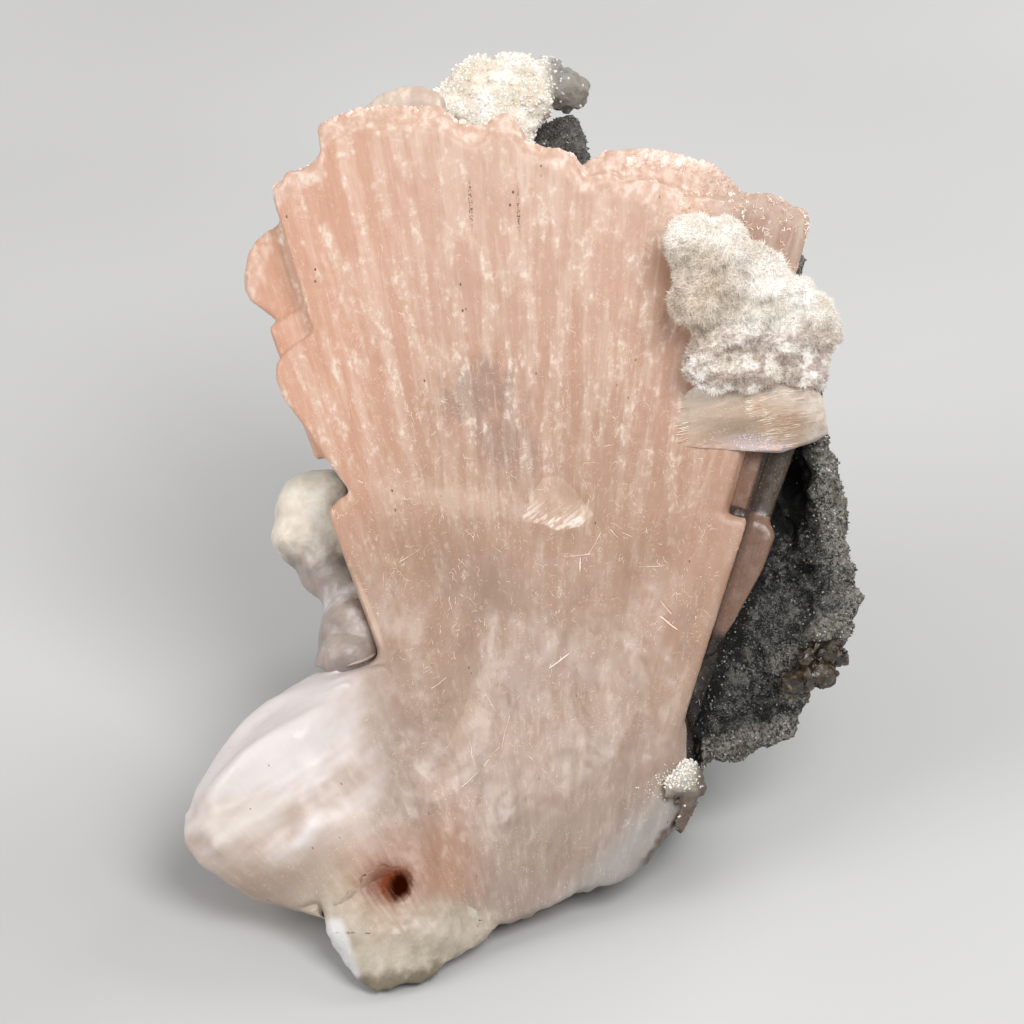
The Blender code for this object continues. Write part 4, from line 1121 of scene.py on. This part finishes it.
def blade_relief(piece):
    """The skin's relief in millimetres: blades' steps, the root's facets, the lobe and the pit."""
    places = read_points(piece) / MM
    across, up, out = places.T
    degrees, reach = fan_polar(places)
    facing = ease(read_normals(piece)[:, 2], 0.2, 0.8)
    rolled = np.stack((np.radians(degrees) * FAN_ARC, reach, out * 0), axis=1)
    lobe = on_lobe(across, up)
    blades = facing * (1 - lobe)
    steps = swell(rolled, 1.1, 31, (1, 14, 1), 2)
    upper = ease(up, -6.0, 10.0) * ease(across, 12.0, 9.0)
    heights = np.round(steps * 3.5) / 3.5 * (0.012 + 0.03 * upper) * blades
    heights += swell(rolled, 0.5, 32, (1, 8, 1), 2) * 0.01 * blades
    below = ease(up, -3.0, -11.0) * (1 - lobe)
    facets = swell(places * (1, 1, 0), 3.2, 33, (1, 2.2, 1), 2)
    heights += (np.round(facets * 3) / 3 * 0.1 + facets * 0.12) * below * facing
    border = ease(up, -13.0, -18.0) * (1 - facing * 0.75) * (1 - lobe)
    ragged = swell(places, 2.0, 36, octaves=2) * 0.3 + swell(places, 0.8, 38, octaves=2) * 0.1
    heights += ragged * border
    slant = places @ np.array(((0.79, -0.61, 0), (0.61, 0.79, 0), (0, 0, 1)))
    heights += swell(slant, 3.0, 34, (2.0, 1, 1.5), 2) * 0.16 * lobe
    crest = crest_at(degrees)
    teeth = ease(reach, crest - 1.9, crest - 0.6) * (up > 8)
    heights += swell(rolled, 0.6, 37, (1, 1.6, 1), 2) * 0.09 * teeth
    heights += swell(places, 0.9, 35, octaves=2) * 0.025
    chalky = ease(up, -26.5, -28.5) * (from_foot(across, up) < 1.5)
    heights += swell(places, 1.0, 52, octaves=3) * 0.1 * chalky
    heights -= 0.4 * ease(np.hypot((across + 7.7) / 0.9, (up + 25.7) / 1.1), 1.0, 0.2) * facing
    return heights


def thin_behind(piece):
    """Brings the piece within its faces, with most of the loss on its hidden back."""
    group = piece.vertex_groups.new(name="hidden")
    back = np.nonzero(read_normals(piece)[:, 2] < -0.3)[0].tolist()
    group.add(back, 1.0, "REPLACE")
    apply(piece, "TRIANGULATE")
    apply(piece, "DECIMATE", ratio=min(1.0, FAN_FACES / len(piece.data.polygons)),
          vertex_group="hidden", vertex_group_factor=2.0)
    piece.vertex_groups.clear()


def chalky_foot(foot):
    """The foot below the cut, joined with its upper part, which lies under the root's skin."""
    core = copy_of("chalky_foot", "foot_core")
    apply(core, "REMESH", mode="VOXEL", voxel_size=0.3 * MM)
    raise_skin(core, np.full(len(core.data.vertices), -0.9))
    join_into(foot, core)
    finish_piece(foot, ("chalky_foot",), "chalk", chalk_finish())


def mark_side_blades(piece):
    """The thin blades beyond the opaque edge are smoky and see-through, and the pit is rusty."""
    count = len(piece.data.polygons)
    centres = np.empty(count * 3)
    piece.data.polygons.foreach_get("center", centres)
    places = in_sheaf(centres.reshape(-1, 3))
    across, up, out = places.T
    degrees, reach = fan_polar(places)
    edge = np.interp(reach, (26.0, 34.0, 40.0, 45.2, 45.6, 52.5, 60.0),
                     (14.6, 13.9, 14.4, 14.6, 14.9, 14.6, 18.0))
    smoky = (degrees > edge) & (reach > 26.5) & (reach < 53.4) & (out < -0.9) & (out > -4.2)
    pit = (np.hypot((across + 7.9) / 1.1, (up + 25.6) / 1.25) < 1.0) & (out > 3.0)
    slots = np.where(smoky, 1, np.where(pit, 2, 0))
    piece.data.polygons.foreach_set("material_index", slots.astype(np.int32))


def on_face(fan, across, up):
    """The place and normal on the sheaf's front, seen straight on, or None beside it."""
    start = SHEAF @ (Vector((across, up, 40.0)) * MM)
    hit, place, normal, _ = fan.ray_cast(start, Vector(direction(0, 0, -1)))
    return (np.array(place), np.array(normal)) if hit else None


# The longer loose needles on the face: from and to (across, up), and half the width.
LOOSE_NEEDLES = (
    (-7.9, -3.5, -6.4, -2.6, 0.055), (8.9, -3.85, 10.9, -3.8, 0.05), (10.4, -6.2, 11.1, -7.1, 0.08),
    (10.4, -7.3, 11.5, -8.2, 0.09), (2.6, -10.9, 3.9, -10.0, 0.07), (-1.4, -2.3, -0.8, -2.8, 0.06),
    (-3.3, 3.8, -2.3, 3.64, 0.05), (5.0, 3.43, 5.8, 3.46, 0.04), (3.6, -3.1, 5.4, -3.0, 0.07),
    (5.3, -3.0, 6.2, -1.6, 0.06), (4.8, -3.2, 4.75, -4.1, 0.07), (6.4, 4.6, 7.1, 4.7, 0.04),
    (6.9, -1.2, 7.4, -1.8, 0.07), (7.7, -1.4, 8.3, -1.7, 0.05), (-5.6, -12.3, -4.6, -11.6, 0.05),
    (-0.15, -14.2, -0.8, -16.3, 0.03), (-0.8, -16.3, -2.4, -18.1, 0.035),
    (-2.4, -18.1, -4.0, -19.5, 0.03), (-3.0, -15.6, -2.7, -17.6, 0.03),
    (1.2, -17.0, 2.6, -18.4, 0.03), (-1.9, -12.6, -1.0, -14.2, 0.025),
)


def face_fibres(fan):
    """Hair-thin bits of fibre that lie on the face, in loose crowds, and a few longer needles."""
    chance = random.Random(71)
    places, axes, sides, sizes = [], [], [], []

    def lay(across, up, heading, length, width, bend, parts, steepest=0.7):
        """Lays one fibre in straight parts, each turned by bend, as far as the face is this level."""
        for _ in range(parts):
            spot = on_face(fan, across, up)
            if spot is None or spot[1] @ direction(0, 0, 1) < steepest:
                return
            place, normal = spot
            along = direction(math.cos(heading), math.sin(heading), 0)
            along = along - normal * (along @ normal)
            places.append(place + normal * width * 0.5 * MM)
            axes.append(along)
            sides.append(normal)
            sizes.append((width * MM, width * 0.7 * MM, length * 1.35 * MM))
            across += math.cos(heading) * length
            up += math.sin(heading) * length
            heading += bend

    for left, low, right, high, width in LOOSE_NEEDLES:
        length = math.hypot(right - left, high - low)
        lay(left, low, math.atan2(high - low, right - left), length / 2, width, 0.06, 2)
    for _ in range(CROWDS_ON_FACE):
        across = chance.uniform(-15, 14)
        up = chance.uniform(-17, 27)
        if across < -9.5 and up < -7.5:
            continue
        if chance.random() > math.exp(-((up / 12.0) ** 2)) * 0.85 + 0.15:
            continue
        spread = chance.uniform(0.2, 1.2)
        for _ in range(chance.choice((1, 2, 3, 5, 8, 12))):
            if chance.random() < 0.7:
                heading = chance.uniform(0, math.pi)
            else:
                heading = chance.gauss(math.pi / 2, 0.4)
            length = chance.uniform(0.05, 0.2) * (1.8 if chance.random() < 0.08 else 1.0)
            lay(across + chance.gauss(0, spread), up + chance.gauss(0, spread * 1.3), heading, length,
                chance.uniform(0.014, 0.028), chance.gauss(0, 0.3), chance.choice((1, 2, 2, 3)))
    # Small V-shaped flecks on the crests at the upper right.
    for _ in range(CREST_FLECKS):
        across, up = chance.uniform(11.5, 21.0), chance.uniform(16.5, 24.5)
        heading = chance.uniform(0, 2 * math.pi)
        for turn in (0.0, chance.uniform(0.7, 1.3)):
            length = chance.uniform(0.14, 0.3)
            lay(across, up, heading + turn, length, chance.uniform(0.045, 0.08), 0.0, 1, 0.3)
    piece = strew("face_fibres", needle_pattern(), *map(np.array, (places, axes, sides, sizes)))
    finish_piece(piece, (), "heulandite", fibre_finish(), smooth=False)


# Each crest: degrees and radius from left to right, how far out it is, and its crystals' width.
CRESTS = (
    (((-13.0, 72.6), (-12.2, 73.1), (-11.0, 73.2), (-9.3, 73.1), (-6.3, 72.4), (-5.5, 71.6),
      (-4.4, 70.8), (-3.0, 71.7), (-2.3, 71.4), (-1.7, 70.2)), -0.75, 0.42),
    (((-1.7, 69.7), (-0.5, 69.2), (0.6, 69.0), (1.3, 68.6), (1.7, 67.9)), -0.5, 0.4),
    (((1.5, 66.9), (3.4, 67.4), (4.4, 66.9), (5.8, 67.3), (7.0, 66.9), (8.4, 66.4), (11.4, 66.6)),
     -0.25, 0.38),
    (((2.0, 68.1), (3.0, 69.0), (5.6, 69.4), (8.0, 69.2), (9.4, 69.0), (10.2, 68.3), (11.3, 67.6)),
     -1.3, 0.36),
    (((10.8, 67.1), (11.6, 67.3), (13.2, 67.8), (14.1, 67.5), (14.6, 67.0), (15.2, 67.3),
      (15.7, 66.3)), -0.9, 0.4),
    (((-16.6, 68.6), (-16.5, 69.3), (-15.3, 70.0), (-14.5, 69.9), (-13.6, 70.4)), -0.6, 0.42),
)
CRYSTALS_PER_DEGREE = 12


def crest_crystals():
    """Small rounded crystals set into the crests' edges."""
    chance = random.Random(72)
    places, axes, sides, sizes = [], [], [], []
    for crest, front, width in CRESTS:
        stops, radii = zip(*crest)
        for _ in range(int((stops[-1] - stops[0]) * CRYSTALS_PER_DEGREE)):
            at = chance.uniform(stops[0], stops[-1])
            size = chance.uniform(0.12, 0.24)
            reach = np.interp(at, stops, radii) - abs(chance.gauss(0, 0.3)) - size * 0.9
            turn = math.radians(at)
            depth = front - abs(chance.gauss(0, 0.7)) - size * 0.2
            places.append((*at_polar(turn, reach), depth))
            axes.append(direction(math.sin(turn), math.cos(turn), 0) + scatter_one(chance) * 0.25)
            sides.append(direction(math.cos(turn), -math.sin(turn), 0) + scatter_one(chance) * 0.25)
            sizes.append((size * width * 2.6 * MM, size * MM, size * chance.uniform(0.8, 1.3) * MM))
    places = from_sheaf(np.array(places))
    piece = strew("crest_crystals", bead_pattern(), places, *map(np.array, (axes, sides, sizes)))
    finish_piece(piece, (), "heulandite", crest_finish(), smooth=False)


def crest_beads(fan):
    """Rounded, sparkling little crystals on the face of the crest at the upper right."""
    chance = random.Random(73)
    places, axes, sides, sizes = [], [], [], []
    for _ in range(CREST_BEADS):
        at = chance.uniform(4.4, 10.8)
        top = np.interp(at, (4.4, 5.6, 8.0, 9.4, 10.8), (68.6, 69.4, 69.2, 69.0, 68.0))
        reach = top - abs(chance.gauss(0, 0.5)) - 0.05
        turn = math.radians(at)
        spot = on_face(fan, *at_polar(turn, reach))
        if spot is None:
            continue
        place, normal = spot
        size = chance.uniform(0.12, 0.32)
        places.append(place - normal * size * 0.5 * MM)
        axes.append(normal + scatter_one(chance) * 0.3)
        sides.append(scatter_one(chance))
        wide, high = chance.uniform(0.7, 1.1), chance.uniform(0.6, 1.0)
        sizes.append((size * MM, size * wide * MM, size * high * MM))
    piece = strew("crest_beads", bead_pattern(), *map(np.array, (places, axes, sides, sizes)))
    finish_piece(piece, (), "heulandite", crest_finish("beaded crest"))


def at_polar(turn, reach):
    """Across and up of the place at this turn to the right of up, in radians, and this radius."""
    return FAN_ACROSS + reach * math.sin(turn), FAN_UP + reach * math.cos(turn)


def scatter_one(chance):
    """A random step in any direction."""
    return np.array([chance.gauss(0, 1) for _ in range(3)])


# The tuft, the silky blade and the crusts


def rough_copy(node, name, cell, layers, seed, passes=2):
    """A finer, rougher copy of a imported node. Each layer is a size and a height in millimetres."""
    piece = copy_of(node, name)
    apply(piece, "REMESH", mode="VOXEL", voxel_size=cell * MM)
    if passes:
        apply(piece, "SMOOTH", factor=0.5, iterations=passes)
    for size, height in layers:
        places = read_points(piece) / MM
        raise_skin(piece, swell(places, size, seed, octaves=3) * height)
    return piece


def fibrous_tuft():
    """The tuft's felted body and its thousands of needles."""
    body = rough_copy("fibrous_tuft", "tuft_body", 0.2, ((2.4, 0.3), (1.1, 0.26), (0.5, 0.1)), 64)
    raise_skin(body, np.full(len(body.data.vertices), -0.03))
    finish_piece(body, ("fibrous_tuft",), "white_fibre", tuft_finish("felted white"))
    outwards = direction(0.2, 0.1, 1)

    def mostly_front(_, normals):
        return np.where(normals @ outwards > -0.2, 1.0, 0.3)

    places, normals = spots_on(body, TUFT_NEEDLES, 641, mostly_front)
    chance = np.random.default_rng(642)
    axes = normals + scattered(TUFT_NEEDLES, 643) * 0.85
    lengths = chance.uniform(0.22, 0.5, TUFT_NEEDLES) * MM
    widths = chance.uniform(0.035, 0.075, TUFT_NEEDLES) * MM
    sizes = np.stack((widths, widths, lengths), axis=1)
    needles = strew("tuft_needles", spine_pattern(), places - normals * 0.1 * MM, axes,
                    scattered(TUFT_NEEDLES, 644), sizes)
    finish_piece(needles, (), "white_fibre", tuft_finish(), smooth=False)


def silky_blade():
    """The bundle of silky fibres, with loose ones along it and lilac crumbs on its ledge."""
    piece = copy_of("silky_blade", "silky_bundle")
    piece.data.transform(SHEAF.inverted())
    apply(piece, "REMESH", mode="VOXEL", voxel_size=0.12 * MM)
    apply(piece, "SMOOTH", factor=0.5, iterations=6)
    places = read_points(piece) / MM
    turn = math.radians(SILKY_SLOPE)
    c, s = math.cos(turn), math.sin(turn)
    lengthwise = places @ np.array(((c, -s, 0), (s, c, 0), (0, 0, 1)))
    across, up, out = places.T
    # The left end is pressed onto the face and frayed.
    press = np.maximum(ease(across, 15.0, 11.4), 0.75 * ease(up, 6.6, 4.6)) * ease(across, 17.6, 15.8)
    out = np.where(out > 0.3, 0.3 + (out - 0.3) * (1 - 0.8 * press), out)
    out -= 0.3 * ease(across, 16.6, 14.8) + 0.35 * ease(across, 13.0, 10.6)
    up = up + 0.45 * ease(up, 7.6, 8.8) * ease(across, 12.0, 14.0)
    ragged = swell(np.stack((across * 0, up, out * 0), axis=1), 0.5, 43, octaves=3)
    across = across + ragged * 0.5 * ease(across, 13.0, 10.8)
    write_points(piece, np.stack((across, up, out), axis=1) * MM)
    heights = swell(lengthwise, 0.8, 41, (8, 1, 2), 3) * 0.035
    heights += swell(lengthwise, 0.3, 42, (14, 1, 3), 2) * 0.015
    heights += swell(places, 0.5, 44, octaves=2) * 0.06 * ease(places[:, 0], 14.0, 11.5)
    raise_skin(piece, heights)
    piece.data.transform(SHEAF)
    finish_piece(piece, ("silky_blade",), "silky_cream", silky_finish())

    def front(centres, normals):
        shown = np.where(normals @ direction(0, 0.2, 1) > 0.4, 1.0, 0.02)
        across = in_sheaf(centres)[:, 0]
        return shown * ease(across, 20.6, 18.5) * (0.3 + 0.7 * ease(across, 11.5, 13.5))

    def ledge(centres, normals):
        across, up = in_sheaf(centres).T[:2]
        reach = np.where(normals @ direction(0, -0.2, 1) > 0, 1.0, 0.2)
        return np.hypot((across - 17.1) / 1.6, (up - 4.9) / 0.6) < reach

    places, normals = spots_on(piece, SILKY_FIBRES, 411, front)
    chance = np.random.default_rng(412)
    across = in_sheaf(places)[:, 0:1]
    frayed = np.clip((12.6 - across) / 2.0, 0, 1)
    way = direction(c, s, 0) * np.where(across < 12.4, -1.0, 1.0)
    axes = way + scattered(SILKY_FIBRES, 413) * (0.05 + 0.35 * frayed) + normals * 0.02
    lengths = chance.uniform(0.3, 1.1, (SILKY_FIBRES, 1)) * (1 - 0.75 * frayed) * MM
    widths = chance.uniform(0.014, 0.026, (SILKY_FIBRES, 1)) * (1 + frayed * 0.8) * MM
    lilac = grain_finish("lilac crumbs", pure(206, 190, 196), pure(248, 240, 246))
    crumbs_on("ledge_crumbs", piece, LEDGE_CRUMBS, 415, 0.03, 0.09, "silky_cream", lilac, ledge)
    fibres = strew("silky_fibres", needle_pattern(), places, axes, normals,
                   np.hstack((widths, widths, lengths)))
    finish_piece(fibres, (), "silky_cream", fibre_finish("silky fibre"), smooth=False)


def crumbs_on(name, piece, count, seed, small, large, slot, finish, share):
    """Little sharp grains on a piece, from small to large in millimetres."""
    places, normals = spots_on(piece, count, seed, share)
    chance = np.random.default_rng(seed + 1)
    size = chance.uniform(small, large, count)[:, None] * chance.uniform(0.6, 1.3, (count, 3)) * MM
    axes = normals + scattered(count, seed + 2) * 0.6
    grains = strew(name, crumb_pattern(), places, axes, scattered(count, seed + 3), size)
    finish_piece(grains, (), slot, finish)


# The rock's right edge, from below: up and across.
ROCK_EDGE = (
    (-25.0, 13.0), (-17.5, 14.5), (-17.0, 20.2), (-13.0, 20.2), (-12.4, 21.4), (-9.0, 22.4),
    (-8.0, 23.8), (-6.5, 24.9), (-2.0, 23.6), (4.0, 22.6), (8.0, 21.9), (20.0, 21.0),
)


def rim_of(places):
    """1 along the rock's broken right edge and its lower lip, falling to 0 away from them."""
    across, up, out = places.T
    edge = np.interp(up, *zip(*ROCK_EDGE))
    side = ease(across, edge - 2.4, edge - 0.6) * (up > -13.5)
    lip = ease(up + (across - 14.0) * -0.25, -15.4, -16.6) * (across > 12.5)
    notch = ease(np.abs((up + 9.0) * 0.9 - (across - 21.0) * 0.65), 1.2, 0.3)
    notch *= (across > 18) * (across < 23)
    return np.maximum(np.maximum(side, lip), notch * 0.8) * (out > -14)


def basalt():
    """The matrix, granular all over, and the small grains in it, dark, grey and pale."""
    rock = rough_copy("basalt_matrix", "basalt_rock", CELL_BASALT, (), 5)
    places = read_points(rock) / MM
    hills = swell(places, 3.0, 5) * 0.5 + swell(places, 1.3, 6) * 0.4
    raise_skin(rock, hills * 0.8 + swell(places, 0.6, 7) * 0.16)
    points = read_points(rock)
    points[:, 2] = np.maximum(points[:, 2], 0.0)
    write_points(rock, points)
    rim = rim_of(in_sheaf(points))
    mark(rock, "rim", rim)
    mark(rock, "hill", np.clip(hills * 0.7 + 0.5 + rim * 0.25, 0, 1))
    finish_piece(rock, ("basalt_matrix",), "basalt", basalt_finish())

    def seen(centres, normals):
        places = in_sheaf(centres)
        shown = np.where(normals @ direction(0.3, 0, 1) > 0.1, 1.0, 0.12)
        hollow = np.hypot((places[:, 0] - 20.0) / 1.4, (places[:, 1] - 1.4) / 3.4) < 1.0
        return np.where(centres[:, 2] > 1.0 * MM, shown, 0.0) * np.where(hollow, 0.1, 1.0)

    def along_rim(centres, normals):
        return seen(centres, normals) * (0.3 + rim_of(in_sheaf(centres)))

    grey = grain_finish("grey grains", shade(26, 27, 28), shade(150, 152, 150))
    crumbs_on("grey_grains", rock, GREY_GRAINS, 51, 0.07, 0.19, "basalt", grey, seen)
    pale = grain_finish("pale grains", shade(110, 108, 102), shade(232, 230, 222))
    crumbs_on("pale_grains", rock, PALE_GRAINS, 55, 0.05, 0.14, "basalt", pale, along_rim)


def brown_crystals():
    """A lump of brown crystals, with smaller ones on it."""
    brown = copy_of("brown_crystals", "brown_cluster")
    apply(brown, "SUBSURF", subdivision_type="SIMPLE", levels=2, render_levels=2)
    places = read_points(brown) / MM
    raise_skin(brown, swell(places, 0.8, 66, octaves=2) * 0.14)
    finish_piece(brown, ("brown_crystals",), "brown_crystal", brown_finish(), smooth=False)

    def shown(_, normals):
        return np.where(normals @ direction(0.2, 0, 1) > 0.1, 1.0, 0.1)

    places, normals = spots_on(brown, BROWN_POINTS, 671, shown)
    chance = np.random.default_rng(672)
    size = chance.uniform(0.2, 0.5, (BROWN_POINTS, 1)) * np.array((1.0, 1.0, 1.1)) * MM
    axes = normals + scattered(BROWN_POINTS, 673) * 0.7
    small = strew("brown_points", tablet_pattern(), places - normals * 0.25 * MM, axes,
                  scattered(BROWN_POINTS, 674), size)
    finish_piece(small, (), "brown_crystal", brown_finish("brown points"), smooth=False)


def pale_knobs():
    """The cream knob and the greyish one, whose lower end goes into the root."""
    knobs = rough_copy("side_knobs", "pale_knobs", 0.2, ((2.0, 0.2), (0.8, 0.07)), 61, 4)
    across, up = in_sheaf(read_points(knobs)).T[:2]
    raise_skin(knobs, 1.3 * ease(up, -3.0, -7.0) * ease(across, -14.0, -12.0))
    apply(knobs, "SMOOTH", factor=0.5, iterations=24)
    finish_piece(knobs, ("side_knobs",), "pale_crystal", knob_finish())


def white_crusts(fan):
    """The crust behind the crest and the druse at the root's edge, with their white grains."""
    crust = rough_copy("top_crust", "crust_body", 0.18, ((1.6, 0.34), (0.7, 0.2)), 63)
    finish_piece(crust, ("top_crust",), "white_crust", crust_finish())
    white = grain_finish("white grains", pure(232, 222, 208), pure(254, 252, 248))

    def left_part(centres, _):
        return ease(in_sheaf(centres)[:, 0], 4.2, 2.4) + 0.04

    def upper_left(centres, _):
        across, up = in_sheaf(centres).T[:2]
        return ease(up, -19.8, -18.4) * ease(across, 13.2, 12.3) + 0.01

    def beside_druse(centres, _):
        across, up = in_sheaf(centres).T[:2]
        line = up + 18.8 - 0.4 * (across - 10.6)
        return np.exp(-(((across - 10.6) / 1.3) ** 2) - (line / 0.7) ** 2) * (across > 7)

    crumbs_on("crust_grains", crust, CRUST_GRAINS, 631, 0.07, 0.2, "white_crust", white, left_part)
    druse = rough_copy("edge_druse", "druse_body", 0.12, ((0.9, 0.1), (0.35, 0.05)), 65)
    up = in_sheaf(read_points(druse))[:, 1]
    raise_skin(druse, -0.25 * ease(up, -19.4, -20.6))
    finish_piece(druse, ("edge_druse",), "white_crust", crust_finish())
    crumbs_on("druse_grains", druse, DRUSE_GRAINS, 651, 0.05, 0.15, "white_crust", white, upper_left)
    crumbs_on("root_grains", fan, ROOT_GRAINS, 655, 0.03, 0.1, "white_crust", white, beside_druse)


# The photograph's view, soft studio light and a pale floor


def camera_and_light():
    """The view straight onto the pink face, and the studio's soft lights."""
    lens = bpy.data.cameras.new("view")
    lens.sensor_width = SENSOR
    lens.lens = SENSOR * VIEW_DISTANCE / VIEW_WIDTH
    lens.clip_start = 0.01
    lens.clip_end = 10.0
    camera = bpy.data.objects.new("view", lens)
    bpy.context.scene.collection.objects.link(camera)
    back = Vector((0.0, -math.cos(LEAN), math.sin(LEAN)))
    camera.location = FACE_MIDDLE + back * VIEW_DISTANCE
    camera.rotation_euler = (math.pi / 2 - LEAN, 0.0, 0.0)
    bpy.context.scene.camera = camera
    for name, place, size, power in (
        ("key", (0.16, -0.3, 0.42), 0.26, 1.95),
        ("left fill", (-0.4, -0.2, 0.24), 0.3, 1.15),
        ("back rim", (0.24, 0.26, 0.3), 0.25, 1.0),
    ):
        lamp = bpy.data.lights.new(name, "AREA")
        lamp.size = size
        lamp.energy = power
        item = bpy.data.objects.new(name, lamp)
        bpy.context.scene.collection.objects.link(item)
        item.location = place
        aim = Vector((0, 0, 0.02)) - item.location
        item.rotation_euler = aim.to_track_quat("-Z", "Y").to_euler()
    world = bpy.data.worlds.new("studio")
    world.use_nodes = True
    world.node_tree.nodes["Background"].inputs["Color"].default_value = (1.0, 0.985, 0.96, 1.0)
    world.node_tree.nodes["Background"].inputs["Strength"].default_value = 0.42
    bpy.context.scene.world = world
    bpy.context.scene.view_settings.view_transform = "Standard"


def floor():
    """A plain pale floor."""
    bpy.ops.object.select_all(action="DESELECT")
    bpy.ops.mesh.primitive_plane_add(size=3.0, location=(0, 0, 0))
    plane = bpy.context.object
    plane.name = "floor"
    f = Finish("pale floor")
    tone = f.grain(f.place(), 60.0, 1.0)
    body = f.ramp(tone, (0.3, (0.5, 0.5, 0.5)), (0.7, (0.54, 0.54, 0.54)))
    plane.data.materials.append(f.wear(body, f.rise(tone, 0.3, 0.7, 0.6, 0.75)))


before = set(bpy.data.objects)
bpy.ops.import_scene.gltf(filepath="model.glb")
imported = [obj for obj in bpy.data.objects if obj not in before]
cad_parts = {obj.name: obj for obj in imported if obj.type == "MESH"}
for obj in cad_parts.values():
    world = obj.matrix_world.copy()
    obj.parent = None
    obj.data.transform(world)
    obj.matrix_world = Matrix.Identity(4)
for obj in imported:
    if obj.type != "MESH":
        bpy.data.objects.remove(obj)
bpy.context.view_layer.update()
camera_and_light()
floor()
fan = heulandite_fan()
crest_crystals()
crest_beads(fan)
face_fibres(fan)
fibrous_tuft()
silky_blade()
basalt()
brown_crystals()
pale_knobs()
white_crusts(fan)
